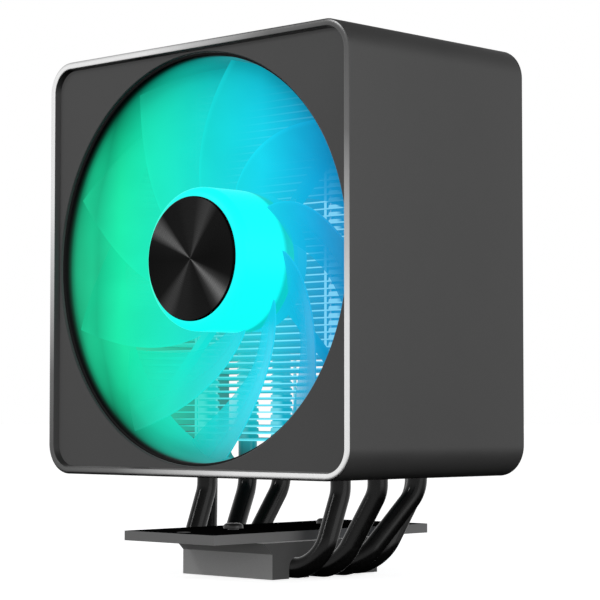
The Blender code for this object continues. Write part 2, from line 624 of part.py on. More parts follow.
def pipe_legs():
    """(x, y) of the four legs on one side, front to back."""
    return (
        (PIPE_LEG_INNER_X, FIN_CENTRE_Y - PIPE_LEG_INNER_Y),
        (PIPE_LEG_OUTER_X, FIN_CENTRE_Y - PIPE_LEG_OUTER_Y),
        (PIPE_LEG_OUTER_X, FIN_CENTRE_Y + PIPE_LEG_OUTER_Y),
        (PIPE_LEG_INNER_X, FIN_CENTRE_Y + PIPE_LEG_INNER_Y),
    )


def pipe_base_places():
    """Y of the four pipes where they lie in the base block."""
    return [PIPE_PITCH * (index - 1.5) for index in range(4)]


def build_fin_stack(material):
    bm = bmesh.new()
    for index in range(FIN_COUNT):
        z = FIN_BOTTOM_Z + index * FIN_PITCH
        add_box(bm, (-FIN_WIDTH / 2, FIN_Y, z), (FIN_WIDTH / 2, FIN_BACK_Y, z + FIN_THICKNESS))
    stack = make_object("fin_stack", bm, material)

    bm = bmesh.new()
    for x in FIN_TAB_X:
        for start in (FIN_Y, FIN_BACK_Y - FIN_TAB_DEPTH):
            low = (x - FIN_TAB_WIDTH / 2, start, FIN_BOTTOM_Z)
            add_box(bm, low, (x + FIN_TAB_WIDTH / 2, start + FIN_TAB_DEPTH, FIN_TOP_Z))
    combine(stack, make_object("fin_tabs", bm, material), "UNION")

    bm = bmesh.new()
    half = PIPE_RADIUS + GAP
    for x, y in pipe_legs():
        for side in (-1, 1):
            low = (side * x - half, y - half, FIN_BOTTOM_Z - CUT_PAST)
            add_box(bm, low, (side * x + half, y + half, FIN_TOP_Z + CUT_PAST))
    combine(stack, make_object("fin_pipe_holes", bm, material), "DIFFERENCE")


def build_brackets(materials):
    for name, foot_z, wall_z, way in bracket_sides():
        half = POST_X + POST_WIDTH / 2
        tab_end = wall_z - way * BRACKET_TAB_SPACE
        outline = [(BRACKET_FOOT_Y, foot_z), (FIN_BACK_Y, foot_z), (FIN_BACK_Y, tab_end),
                   (BRACKET_Y, tab_end), (BRACKET_Y, foot_z + way * BRACKET_THICKNESS),
                   (BRACKET_FOOT_Y, foot_z + way * BRACKET_THICKNESS)]
        bm = bmesh.new()
        add_prism(bm, outline, -half, half, "X")
        bracket = make_object(f"stack_bracket_{name}", bm, materials["black_metal"])
        screw_z = bracket_screw_z(foot_z, wall_z)
        bm = bmesh.new()
        for side in (-1, 1):
            hole = circle(BRACKET_SCREW[0] + GAP, (side * POST_X, screw_z), 12)
            add_prism(bm, hole, BRACKET_Y - CUT_PAST, FIN_BACK_Y + CUT_PAST)
        combine(bracket, make_object(f"bracket_holes_{name}", bm, materials["black_metal"]), "DIFFERENCE")
        for side, label in ((-1, "left"), (1, "right")):
            place = (side * POST_X, FIN_BACK_Y + GAP, screw_z)
            build_screw(f"bracket_screw_{name}_{label}", place, BRACKET_SCREW, (0, -1, 0),
                        BRACKET_SCREW_LENGTH, materials["steel"])


def rounded_path(corners, radii, steps=5):
    """Points along straight runs that meet in arcs, one radius for each corner between the ends."""
    points = [corners[0]]
    for before, corner, after, radius in zip(corners, corners[1:], corners[2:], radii):
        back = (before - corner).normalized()
        ahead = (after - corner).normalized()
        half_angle = back.angle(ahead) / 2
        reach = radius / math.tan(half_angle)
        middle = corner + (back + ahead).normalized() * radius / math.sin(half_angle)
        start = corner + back * reach - middle
        end = corner + ahead * reach - middle
        sweep = start.angle(end)
        for step in range(steps + 1):
            share = step / steps
            arm = start * math.sin((1 - share) * sweep) + end * math.sin(share * sweep)
            points.append(middle + arm / math.sin(sweep))
    points.append(corners[-1])
    return points


def pipe_path(leg, base_y):
    """The U of one pipe: down the left leg, through the base block, up the right leg."""
    leg_x, leg_y = leg
    elbow_x = BASE_WIDTH / 2 + PIPE_ELBOW_OUT
    bend_z = SHELL_BOTTOM_Z - PIPE_UPPER_BEND_DROP
    right = [Vector((elbow_x, base_y, PIPE_BASE_Z)), Vector((leg_x, leg_y, bend_z)),
             Vector((leg_x, leg_y, PIPE_TOP_Z))]
    left = [Vector((-point.x, point.y, point.z)) for point in reversed(right)]
    bends = [PIPE_UPPER_BEND, PIPE_LOWER_BEND, PIPE_LOWER_BEND, PIPE_UPPER_BEND]
    return rounded_path(left + right, bends)


def build_heat_pipes(material):
    for index, (leg, base_y) in enumerate(zip(pipe_legs(), pipe_base_places()), 1):
        curve = bpy.data.curves.new(f"heat_pipe_{index}", "CURVE")
        curve.dimensions = "3D"
        curve.bevel_depth = PIPE_RADIUS
        curve.bevel_resolution = 2
        curve.use_fill_caps = True
        points = pipe_path(leg, base_y)
        spline = curve.splines.new("POLY")
        spline.points.add(len(points) - 1)
        for target, point in zip(spline.points, points):
            target.co = (*point, 1.0)
        spline.use_smooth = True
        curve.materials.append(material)
        pipe = bpy.data.objects.new(f"heat_pipe_{index}", curve)
        bpy.context.scene.collection.objects.link(pipe)


def build_base(materials):
    half = BASE_DEPTH / 2
    outline = [(-half, 0.0), (half, 0.0), (half, BASE_SIDE_HEIGHT), (half + BASE_FLARE, BASE_TOP_Z),
               (-half - BASE_FLARE, BASE_TOP_Z), (-half, BASE_SIDE_HEIGHT)]
    bm = bmesh.new()
    add_prism(bm, outline, -BASE_WIDTH / 2, BASE_WIDTH / 2, "X")
    base = make_object("base_block", bm, materials["nickel"])
    bm = bmesh.new()
    radius = PIPE_RADIUS + GAP
    for y in pipe_base_places():
        arch = [(y + radius * math.cos(math.pi * step / 8), PIPE_BASE_Z + radius * math.sin(math.pi * step / 8))
                for step in range(9)]
        groove = [(y + radius, -CUT_PAST)] + arch + [(y - radius, -CUT_PAST)]
        add_prism(bm, groove, -BASE_WIDTH, BASE_WIDTH, "X")
    combine(base, make_object("pipe_grooves", bm, materials["nickel"]), "DIFFERENCE")

    screw_y = PIPE_PITCH * 1.5 + PIPE_RADIUS + PLATE_SCREW_SPACE
    bm = bmesh.new()
    for side in (-1, 1):
        add_prism(bm, circle(PLATE_SCREW[0] + GAP, (0.0, side * screw_y), 12), BASE_TOP_Z - BASE_HOLE_DEPTH,
                  BASE_TOP_Z + CUT_PAST, "Z")
    combine(base, make_object("base_screw_holes", bm, materials["nickel"]), "DIFFERENCE")

    bm = bmesh.new()
    add_box(bm, (-PLATE_WIDTH / 2, -PLATE_LENGTH / 2, PLATE_BOTTOM_Z),
            (PLATE_WIDTH / 2, PLATE_LENGTH / 2, PLATE_TOP_Z))
    plate = make_object("mounting_plate", bm, materials["black_metal"])
    bm = bmesh.new()
    hole_y = PLATE_LENGTH / 2 - PLATE_HOLE_INSET
    for radius, y in ((PLATE_HOLE_RADIUS, hole_y), (PLATE_SCREW[0] + GAP, screw_y)):
        for side in (-1, 1):
            hole = circle(radius, (0.0, side * y), 32)
            add_prism(bm, hole, PLATE_BOTTOM_Z - CUT_PAST, PLATE_TOP_Z + CUT_PAST, "Z")
    combine(plate, make_object("plate_holes", bm, materials["black_metal"]), "DIFFERENCE")
    for side, label in ((-1, "front"), (1, "rear")):
        build_screw(f"plate_screw_{label}", (0.0, side * screw_y, PLATE_TOP_Z + GAP), PLATE_SCREW,
                    (0, 0, -1), PLATE_THICKNESS + PLATE_SCREW_REACH, materials["steel"])


def build_cooler():
    clear_scene()
    materials = {
        "black_metal": make_material("black_metal", (0.075, 0.075, 0.078), 0.45, 0.3),
        "panel_grey": make_material("panel_grey", (0.075, 0.075, 0.078), 0.5),
        "black_plastic": make_material("black_plastic", (0.015, 0.015, 0.016), 0.55),
        "rubber": make_material("rubber", (0.02, 0.02, 0.02), 0.8),
        "frosted": make_material("frosted_plastic", (0.35, 0.85, 0.85), 0.4, 0.0, 0.6),
        "spun_metal": make_material("spun_metal", (0.02, 0.02, 0.022), 0.3, 0.9),
        "steel": make_material("steel", (0.45, 0.45, 0.46), 0.35, 1.0),
        "ferrite": make_material("ferrite", (0.06, 0.06, 0.06), 0.6),
        "brass": make_material("bearing_brass", (0.55, 0.42, 0.18), 0.35, 1.0),
        "copper": make_material("winding_copper", (0.6, 0.28, 0.14), 0.35, 1.0),
        "board": make_material("board_green", (0.02, 0.12, 0.05), 0.5),
        "fin_black": make_material("fin_black", (0.03, 0.03, 0.032), 0.4, 0.6),
        "pipe_black": make_material("pipe_black", (0.012, 0.012, 0.013), 0.25, 0.5),
        "nickel": make_material("base_grey", (0.13, 0.13, 0.135), 0.45, 0.5),
    }
    build_shell(materials["black_metal"])
    build_front_panel(materials["panel_grey"])
    build_fan_frame(materials["black_plastic"])
    build_fan_pads(materials["rubber"])
    build_fan_screws(materials["steel"])
    build_rotor(materials["frosted"])
    build_rotor_fittings(materials)
    build_stator(materials)
    build_circuit_board(materials["board"])
    build_fin_stack(materials["fin_black"])
    build_brackets(materials)
    build_heat_pipes(materials["pipe_black"])
    build_base(materials)


build_cooler()
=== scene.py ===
"""Looks of the tower cooler: fine shells, fins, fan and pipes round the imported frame, with their materials."""
import math

import bmesh
import bpy
from mathutils import Matrix, Vector


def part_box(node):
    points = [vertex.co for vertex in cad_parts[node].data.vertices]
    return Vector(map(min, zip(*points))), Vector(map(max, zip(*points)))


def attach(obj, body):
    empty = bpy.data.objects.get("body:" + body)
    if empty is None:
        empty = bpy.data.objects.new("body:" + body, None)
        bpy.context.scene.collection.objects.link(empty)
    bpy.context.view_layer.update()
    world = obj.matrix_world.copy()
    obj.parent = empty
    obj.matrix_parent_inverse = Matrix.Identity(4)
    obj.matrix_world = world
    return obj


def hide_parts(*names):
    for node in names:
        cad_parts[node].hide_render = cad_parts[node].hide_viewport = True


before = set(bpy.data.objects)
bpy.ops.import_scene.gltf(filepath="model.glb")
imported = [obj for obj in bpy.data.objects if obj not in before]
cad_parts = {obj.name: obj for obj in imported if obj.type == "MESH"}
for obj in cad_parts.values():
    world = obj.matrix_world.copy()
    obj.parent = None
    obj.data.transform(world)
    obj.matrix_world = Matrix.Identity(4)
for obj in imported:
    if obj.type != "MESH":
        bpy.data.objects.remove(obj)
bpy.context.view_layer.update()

GAP = 0.0003

# Sizes that the frame's boxes don't give
SHELL_WALL = 0.0021
SHELL_CORNER = 0.0091
PANEL_BOSS_RADIUS = 0.0033
HUB_RADIUS = 0.0210
HUB_WALL = 0.0012
HUB_EDGE = 0.0030
BLADE_COUNT = 9
BLADE_THICKNESS = 0.0015
BLADE_PHASE = 46.3
BLADE_SWEEP = 62.2
BLADE_SWEEP_EASE = 15.0
BLADE_TWIST = 33.8
BLADE_TWIST_BULGE = 3.8
BLADE_ROOT_FRONT = 0.0160
BLADE_TIP_FRONT = 0.0049
BLADE_REAR_SPREAD = 0.30
STRUT_DEPTH = 0.0026
STRUT_WIDTH = 0.0036
MOTOR_MOUNT_RADIUS = 0.0205
MOTOR_MOUNT_DEPTH = 0.0050
FLANGE_THICKNESS = 0.0040
SCREW_INSET = 0.0077
FIN_THICKNESS = 0.0004
FIN_PITCH = 0.0021
FIN_TAB_X = (-0.0272, 0.0272)
FIN_TAB_WIDTH = 0.0010
PIPE_RADIUS = 0.0030
COLLAR_TOP = 0.0015
COLLAR_RINGS = ((0.0006, FIN_THICKNESS), (0.0004, COLLAR_TOP), (GAP / 2, COLLAR_TOP), (GAP / 2, FIN_THICKNESS))
PIPE_ELBOW_X = 0.0373 / 2 + 0.0090
PIPE_LOWER_BEND = 0.0095
PIPE_UPPER_BEND = 0.0100
PIPE_BEND_DROP = 0.0045
BASE_SIDE_HEIGHT = 0.0072
BASE_FLARE = 0.0035

SHELL_LOW, SHELL_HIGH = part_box("shroud_shell")
PANEL_LOW, PANEL_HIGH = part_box("front_panel")
CAP_LOW, CAP_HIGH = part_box("hub_cap")
ROTOR_LOW, ROTOR_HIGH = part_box("fan_rotor")
FRAME_LOW, FRAME_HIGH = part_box("fan_frame")
STACK_LOW, STACK_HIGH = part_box("fin_stack")
HUB_Z = (CAP_LOW.z + CAP_HIGH.z) / 2
THROAT_RADIUS = (FRAME_HIGH.x - FRAME_LOW.x) / 2 - 0.0011
PANEL_OPENING = THROAT_RADIUS + 0.0008
TIP_RADIUS = THROAT_RADIUS - 0.0009
LIGHT_PLANE_Y = -0.0285
LIGHT_LEAN = 0.9
HUB_BACK = FRAME_HIGH.y - MOTOR_MOUNT_DEPTH - 0.0010


# ---------------------------------------------------------------- materials

def start_material(name):
    material = bpy.data.materials.new(name)
    material.use_nodes = True
    tree = material.node_tree
    return material, tree, tree.nodes["Principled BSDF"]


def add_node(tree, kind, **settings):
    node = tree.nodes.new(kind)
    for key, value in settings.items():
        if key in node.inputs:
            node.inputs[key].default_value = value
        else:
            setattr(node, key, value)
    return node


def math_node(tree, operation, first, second=None):
    node = add_node(tree, "ShaderNodeMath", operation=operation)
    for socket, value in zip(node.inputs, (first, second)):
        if value is None:
            continue
        if isinstance(value, (int, float)):
            socket.default_value = value
        else:
            tree.links.new(value, socket)
    return node.outputs[0]


def remap(tree, value, low, high, to_low, to_high):
    node = add_node(tree, "ShaderNodeMapRange")
    tree.links.new(value, node.inputs["Value"])
    node.inputs["From Min"].default_value = low
    node.inputs["From Max"].default_value = high
    node.inputs["To Min"].default_value = to_low
    node.inputs["To Max"].default_value = to_high
    return node.outputs["Result"]


def ramp(tree, value, stops):
    node = tree.nodes.new("ShaderNodeValToRGB")
    tree.links.new(value, node.inputs["Fac"])
    elements = node.color_ramp.elements
    while len(elements) < len(stops):
        elements.new(0.5)
    for element, (place, colour) in zip(elements, stops):
        element.position = place
        element.color = (*colour, 1.0)
    return node.outputs["Color"]


def grey(value):
    return (value, value, value)


def object_noise(tree, scale, detail=3.0, stretch=(1.0, 1.0, 1.0)):
    coordinates = tree.nodes.new("ShaderNodeTexCoord")
    mapping = tree.nodes.new("ShaderNodeMapping")
    mapping.inputs["Scale"].default_value = stretch
    tree.links.new(coordinates.outputs["Object"], mapping.inputs["Vector"])
    noise = add_node(tree, "ShaderNodeTexNoise", Scale=scale, Detail=detail)
    tree.links.new(mapping.outputs["Vector"], noise.inputs["Vector"])
    return noise.outputs["Fac"]


def add_bump(tree, shader, height, distance, strength=1.0):
    bump = tree.nodes.new("ShaderNodeBump")
    bump.inputs["Strength"].default_value = strength
    bump.inputs["Distance"].default_value = distance
    tree.links.new(height, bump.inputs["Height"])
    tree.links.new(bump.outputs["Normal"], shader.inputs["Normal"])


def coated_material(name, colour, roughness, metallic=0.0, grain=1600.0, depth=0.00003, spread=0.12):
    """A coat or moulded skin: fine grain, and slow changes of tone and gloss."""
    material, tree, shader = start_material(name)
    slow = object_noise(tree, 45.0, 2.0)
    fine = object_noise(tree, grain)
    dark = tuple(channel * (1 - spread) for channel in colour)
    light = tuple(channel * (1 + spread) for channel in colour)
    mixed = math_node(tree, "ADD", math_node(tree, "MULTIPLY", slow, 0.6),
                      math_node(tree, "MULTIPLY", fine, 0.4))
    tree.links.new(ramp(tree, mixed, [(0.3, dark), (0.7, light)]), shader.inputs["Base Color"])
    tree.links.new(remap(tree, mixed, 0.3, 0.7, roughness * 0.88, min(1.0, roughness * 1.12)),
                   shader.inputs["Roughness"])
    shader.inputs["Metallic"].default_value = metallic
    add_bump(tree, shader, fine, depth)
    return material


def polished_rim_material():
    """Bare metal round the shroud's front, with a painted reflection round the ring: light where x and the height above
    the hub have opposite signs, dark where they share a sign.
    """
    material, tree, shader = start_material("polished_rim_painted_reflection")
    coordinates = tree.nodes.new("ShaderNodeTexCoord")
    split = tree.nodes.new("ShaderNodeSeparateXYZ")
    tree.links.new(coordinates.outputs["Object"], split.inputs["Vector"])
    across = math_node(tree, "MULTIPLY", split.outputs["X"], 1 / 0.0628)
    up = math_node(tree, "MULTIPLY", math_node(tree, "SUBTRACT", split.outputs["Z"], HUB_Z), 1 / 0.063)
    painted_reflection_diagonal = math_node(tree, "MULTIPLY", across, up)
    # painted reflection: the base colour runs from bright to dark across the ring's diagonals
    tone = ramp(tree, remap(tree, painted_reflection_diagonal, -1.0, 1.0, 0.0, 1.0),
                [(0.0, grey(1.0)), (0.35, grey(0.92)), (0.50, grey(0.62)), (0.75, grey(0.18)),
                 (1.0, grey(0.10))])
    tree.links.new(tone, shader.inputs["Base Color"])
    shader.inputs["Metallic"].default_value = 1.0
    fine = object_noise(tree, 900.0, 3.0, (1.0, 1.0, 1.0))
    tree.links.new(remap(tree, fine, 0.3, 0.7, 0.24, 0.27), shader.inputs["Roughness"])
    add_bump(tree, shader, fine, 0.000001)
    return material


def glow(tree):
    """The fan's light where a point is in space: green on the left, cyan in the middle, blue on the right.

    The light leans to the right as it goes back. Returns its colour, the distance from its leaning axis, the
    distance from the fan's own axis, x on the leaning axis and y.
    """
    geometry = tree.nodes.new("ShaderNodeNewGeometry")
    split = tree.nodes.new("ShaderNodeSeparateXYZ")
    tree.links.new(geometry.outputs["Position"], split.inputs["Vector"])
    back = math_node(tree, "SUBTRACT", split.outputs["Y"], LIGHT_PLANE_Y)
    place = math_node(tree, "ADD", split.outputs["X"], math_node(tree, "MULTIPLY", back, LIGHT_LEAN))
    across = remap(tree, place, -0.058, 0.058, 0.0, 1.0)
    colour = ramp(tree, across, [
        (0.00, (0.011, 0.56, 0.27)), (0.14, (0.010, 0.86, 0.42)), (0.33, (0.010, 0.80, 0.56)),
        (0.50, (0.0085, 0.69, 0.68)), (0.67, (0.008, 0.66, 0.84)), (0.81, (0.006, 0.45, 0.75)),
        (0.89, (0.005, 0.35, 0.69)), (1.00, (0.006, 0.25, 0.57)),
    ])
    up = math_node(tree, "SUBTRACT", split.outputs["Z"], HUB_Z)
    radii = []
    for side in (place, split.outputs["X"]):
        squares = math_node(tree, "ADD", math_node(tree, "MULTIPLY", side, side),
                            math_node(tree, "MULTIPLY", up, up))
        radii.append(math_node(tree, "SQRT", squares))
    return colour, radii[0], radii[1], place, split.outputs["Y"]


def curve(tree, value, places):
    node = tree.nodes.new("ShaderNodeFloatCurve")
    points = node.mapping.curves[0].points
    while len(points) < len(places):
        points.new(0.5, 0.5)
    for point, place in zip(points, places):
        point.location = place
    node.mapping.update()
    tree.links.new(value, node.inputs["Value"])
    return node.outputs["Value"]


def glow_fade(tree, radius, across):
    """How the light weakens outward: to a third at the fan's rim, but little on the left."""
    fade = curve(tree, math_node(tree, "MULTIPLY", radius, 1 / 0.060),
                 ((0.0, 1.0), (0.55, 1.0), (0.75, 0.96), (0.87, 0.82), (0.95, 0.56), (1.0, 0.36)))
    left = remap(tree, across, -0.035, -0.055, 0.0, 1.0)
    return math_node(tree, "MAXIMUM", fade, math_node(tree, "MULTIPLY", left, 0.92))


def lit_blade_material():
    """Frosted plastic lit from the hub: brightest at the hub, fading at the tips, brighter along its edges."""
    material, tree, shader = start_material("lit_frosted_blade")
    colour, radius, _, across, _ = glow(tree)
    fade = glow_fade(tree, radius, across)
    edge = add_node(tree, "ShaderNodeAttribute", attribute_name="edge")
    clouds = remap(tree, object_noise(tree, 60.0, 2.0), 0.3, 0.7, 0.96, 1.04)
    strength = math_node(tree, "MULTIPLY", fade, clouds)
    right = remap(tree, across, -0.030, 0.010, 0.02, 0.10)
    strength = math_node(tree, "ADD", strength, math_node(tree, "MULTIPLY", edge.outputs["Fac"], right))
    tree.links.new(colour, shader.inputs["Emission Color"])
    tree.links.new(strength, shader.inputs["Emission Strength"])
    tone = ramp(tree, object_noise(tree, 300.0), [(0.3, (0.004, 0.014, 0.018)), (0.7, (0.006, 0.018, 0.024))])
    tree.links.new(tone, shader.inputs["Base Color"])
    tree.links.new(remap(tree, object_noise(tree, 1500.0), 0.3, 0.7, 0.50, 0.62), shader.inputs["Roughness"])
    shader.inputs["Specular IOR Level"].default_value = 0.12
    along = add_node(tree, "ShaderNodeAttribute", attribute_name="along")
    tree.links.new(remap(tree, along.outputs["Fac"], 0.35, 0.95, 0.92, 0.55), shader.inputs["Alpha"])
    return material


def lit_frame_material():
    """Black plastic of the fan's frame, lit inside its throat and dark round its front lip."""
    material, tree, shader = start_material("lit_fan_frame")
    colour, leaning, radius, across, depth = glow(tree)
    fade = glow_fade(tree, leaning, across)
    inside = remap(tree, radius, THROAT_RADIUS + 0.0001, THROAT_RADIUS + 0.0005, 1.0, 0.0)
    along = curve(tree, remap(tree, depth, FRAME_LOW.y, FRAME_LOW.y + 0.0125, 0.0, 1.0),
                  ((0.0, 0.0), (0.10, 0.02), (0.24, 0.42), (0.42, 0.86), (0.70, 1.0), (1.0, 1.0)))
    clouds = remap(tree, object_noise(tree, 60.0, 2.0), 0.3, 0.7, 0.94, 1.06)
    strength = math_node(tree, "MULTIPLY", math_node(tree, "MULTIPLY", inside, along), clouds)
    strength = math_node(tree, "MULTIPLY", strength, fade)
    tree.links.new(colour, shader.inputs["Emission Color"])
    tree.links.new(strength, shader.inputs["Emission Strength"])
    fine = object_noise(tree, 1800.0)
    tree.links.new(ramp(tree, fine, [(0.3, grey(0.004)), (0.7, grey(0.006))]), shader.inputs["Base Color"])
    tree.links.new(remap(tree, fine, 0.3, 0.7, 0.50, 0.60), shader.inputs["Roughness"])
    shader.inputs["Specular IOR Level"].default_value = 0.15
    add_bump(tree, shader, fine, 0.000006)
    return material


def lit_hub_material():
    material, tree, shader = start_material("lit_frosted_hub")
    geometry = tree.nodes.new("ShaderNodeNewGeometry")
    split = tree.nodes.new("ShaderNodeSeparateXYZ")
    tree.links.new(geometry.outputs["Position"], split.inputs["Vector"])
    across = remap(tree, split.outputs["X"], -HUB_RADIUS, HUB_RADIUS, 0.0, 1.0)
    colour = ramp(tree, across, [(0.0, (0.006, 1.0, 0.62)), (0.35, (0.006, 1.0, 0.92)), (1.0, (0.006, 1.0, 1.0))])
    tree.links.new(colour, shader.inputs["Emission Color"])
    grain = remap(tree, object_noise(tree, 1200.0), 0.3, 0.7, 0.98, 1.02)
    behind = remap(tree, split.outputs["Y"], -0.0200, -0.0185, 1.0, 0.60)
    tree.links.new(math_node(tree, "MULTIPLY", grain, behind), shader.inputs["Emission Strength"])
    shader.inputs["Base Color"].default_value = (0.004, 0.03, 0.03, 1.0)
    shader.inputs["Specular IOR Level"].default_value = 0.12
    tree.links.new(remap(tree, object_noise(tree, 1500.0), 0.3, 0.7, 0.40, 0.50), shader.inputs["Roughness"])
    return material


def turned_disc_material():
    """Black metal turned in fine circles about the fan's axis, with painted highlights: bright rays at fixed angles
    round the axis in the base colour.
    """
    material, tree, shader = start_material("turned_black_disc_painted_sheen")
    coordinates = tree.nodes.new("ShaderNodeTexCoord")
    mapping = tree.nodes.new("ShaderNodeMapping")
    mapping.inputs["Location"].default_value = (0.0, 0.0, -HUB_Z)
    tree.links.new(coordinates.outputs["Object"], mapping.inputs["Vector"])
    split = tree.nodes.new("ShaderNodeSeparateXYZ")
    tree.links.new(mapping.outputs["Vector"], split.inputs["Vector"])
    squares = math_node(tree, "ADD", math_node(tree, "MULTIPLY", split.outputs["X"], split.outputs["X"]),
                        math_node(tree, "MULTIPLY", split.outputs["Z"], split.outputs["Z"]))
    radius = math_node(tree, "SQRT", squares)
    rings = add_node(tree, "ShaderNodeTexNoise", noise_dimensions="1D", Scale=5200.0, Detail=2.0)
    tree.links.new(radius, rings.inputs["W"])
    geometry = tree.nodes.new("ShaderNodeNewGeometry")
    place = tree.nodes.new("ShaderNodeSeparateXYZ")
    tree.links.new(geometry.outputs["Position"], place.inputs["Vector"])
    up = math_node(tree, "SUBTRACT", place.outputs["Z"], HUB_Z)
    angle = math_node(tree, "MULTIPLY", math_node(tree, "ARCTAN2", up, place.outputs["X"]), 1 / (2 * math.pi))
    # painted highlights: the base colour rises to bright rays at listed angles round the hub, fixed in world space
    painted_sheen = ramp(tree, math_node(tree, "ADD", angle, 0.5), [
        (degrees / 360 + 0.5, grey(tone)) for degrees, tone in (
            (-180, 0.007), (-140, 0.008), (-127, 0.050), (-120, 0.050), (-110, 0.016), (-95, 0.013), (-80, 0.008),
            (-60, 0.006), (-51, 0.030), (-41, 0.135), (-38, 0.135), (-29, 0.036), (-19, 0.006), (0, 0.005),
            (50, 0.007), (62, 0.056), (69, 0.046), (81, 0.015), (100, 0.012), (112, 0.008), (131, 0.008),
            (141, 0.092), (149, 0.092), (159, 0.010), (180, 0.007))])
    grooves = remap(tree, rings.outputs["Fac"], 0.3, 0.7, 0.88, 1.12)
    shade = add_node(tree, "ShaderNodeVectorMath", operation="SCALE")
    tree.links.new(painted_sheen, shade.inputs[0])
    tree.links.new(grooves, shade.inputs["Scale"])
    tree.links.new(shade.outputs["Vector"], shader.inputs["Base Color"])
    tree.links.new(remap(tree, rings.outputs["Fac"], 0.3, 0.7, 0.22, 0.28), shader.inputs["Roughness"])
    shader.inputs["Metallic"].default_value = 1.0
    shader.inputs["Anisotropic"].default_value = 0.97
    length = add_node(tree, "ShaderNodeVectorMath", operation="NORMALIZE")
    swap = tree.nodes.new("ShaderNodeCombineXYZ")
    tree.links.new(math_node(tree, "MULTIPLY", split.outputs["Z"], -1.0), swap.inputs["X"])
    tree.links.new(split.outputs["X"], swap.inputs["Z"])
    tree.links.new(swap.outputs["Vector"], length.inputs[0])
    tree.links.new(length.outputs["Vector"], shader.inputs["Tangent"])
    add_bump(tree, shader, rings.outputs["Fac"], 0.000004)
    return material


def fin_light(tree, front, rear):
    """Strength of the fan's light on what stands behind it: from front at the fan to rear at the far end."""
    colour, _, radius, across, depth = glow(tree)
    reach = remap(tree, radius, 0.056, 0.070, 1.0, 0.0)
    depth = remap(tree, depth, STACK_LOW.y, STACK_HIGH.y - 0.004, front, rear)
    return colour, math_node(tree, "MULTIPLY", depth, reach), across


def fin_material():
    """Black coated sheet, with the fan's light on it and a painted highlight along each edge that faces the fan."""
    material, tree, shader = start_material("fin_sheet")
    colour, strength, across = fin_light(tree, 0.88, 0.66)
    geometry = tree.nodes.new("ShaderNodeNewGeometry")
    facing = tree.nodes.new("ShaderNodeSeparateXYZ")
    tree.links.new(geometry.outputs["Normal"], facing.inputs["Vector"])
    # painted highlight: edges that face the fan get more and paler emission
    edge = remap(tree, facing.outputs["Y"], -0.6, -0.9, 0.0, 1.0)
    edge = math_node(tree, "MULTIPLY", edge, remap(tree, across, -0.015, 0.025, 0.15, 1.0))
    mix = add_node(tree, "ShaderNodeMix", data_type="RGBA")
    tree.links.new(math_node(tree, "MULTIPLY", edge, 0.30), mix.inputs["Factor"])
    tree.links.new(colour, mix.inputs["A"] if "A" in mix.inputs else mix.inputs[6])
    mix.inputs[7].default_value = (0.55, 1.0, 1.0, 1.0)
    tree.links.new(mix.outputs[2], shader.inputs["Emission Color"])
    lift = math_node(tree, "ADD", math_node(tree, "MULTIPLY", edge, 0.35), 1.0)
    tree.links.new(math_node(tree, "MULTIPLY", strength, lift), shader.inputs["Emission Strength"])
    grain = object_noise(tree, 700.0, 3.0, (1.0, 6.0, 1.0))
    tree.links.new(ramp(tree, grain, [(0.3, grey(0.008)), (0.7, grey(0.012))]), shader.inputs["Base Color"])
    tree.links.new(remap(tree, grain, 0.3, 0.7, 0.55, 0.65), shader.inputs["Roughness"])
    shader.inputs["Specular IOR Level"].default_value = 0.10
    return material


def inner_wall_material():
    """The shroud's coat inside, behind the fan, with some of the fan's light on it."""
    material, tree, shader = start_material("lit_inner_coat")
    colour, _, _, _, depth = glow(tree)
    behind = remap(tree, depth, STACK_LOW.y - 0.002, STACK_LOW.y + 0.002, 0.0, 1.0)
    fade = remap(tree, depth, STACK_LOW.y, SHELL_HIGH.y, 0.85, 0.30)
    tree.links.new(colour, shader.inputs["Emission Color"])
    tree.links.new(math_node(tree, "MULTIPLY", behind, fade), shader.inputs["Emission Strength"])
    fine = object_noise(tree, 2200.0)
    tree.links.new(ramp(tree, fine, [(0.3, grey(0.035)), (0.7, grey(0.045))]), shader.inputs["Base Color"])
    tree.links.new(remap(tree, fine, 0.3, 0.7, 0.44, 0.52), shader.inputs["Roughness"])
    add_bump(tree, shader, fine, 0.000008)
    return material


def pipe_material():
    """Gloss black plating, with the fan's light on the lengths that run through the fins."""
    material, tree, shader = start_material("gloss_black_pipe")
    colour, strength, _ = fin_light(tree, 0.90, 0.70)
    geometry = tree.nodes.new("ShaderNodeNewGeometry")
    split = tree.nodes.new("ShaderNodeSeparateXYZ")
    tree.links.new(geometry.outputs["Position"], split.inputs["Vector"])
    above = remap(tree, split.outputs["Z"], SHELL_LOW.z + 0.0025, SHELL_LOW.z + 0.0050, 0.0, 1.0)
    tree.links.new(colour, shader.inputs["Emission Color"])
    tree.links.new(math_node(tree, "MULTIPLY", strength, above), shader.inputs["Emission Strength"])
    fine = object_noise(tree, 900.0)
    tree.links.new(ramp(tree, fine, [(0.3, grey(0.005)), (0.7, grey(0.008))]), shader.inputs["Base Color"])
    tree.links.new(remap(tree, fine, 0.3, 0.7, 0.20, 0.26), shader.inputs["Roughness"])
    shader.inputs["Specular IOR Level"].default_value = 0.22
    shader.inputs["Coat Weight"].default_value = 0.06
    shader.inputs["Coat Roughness"].default_value = 0.12
    return material


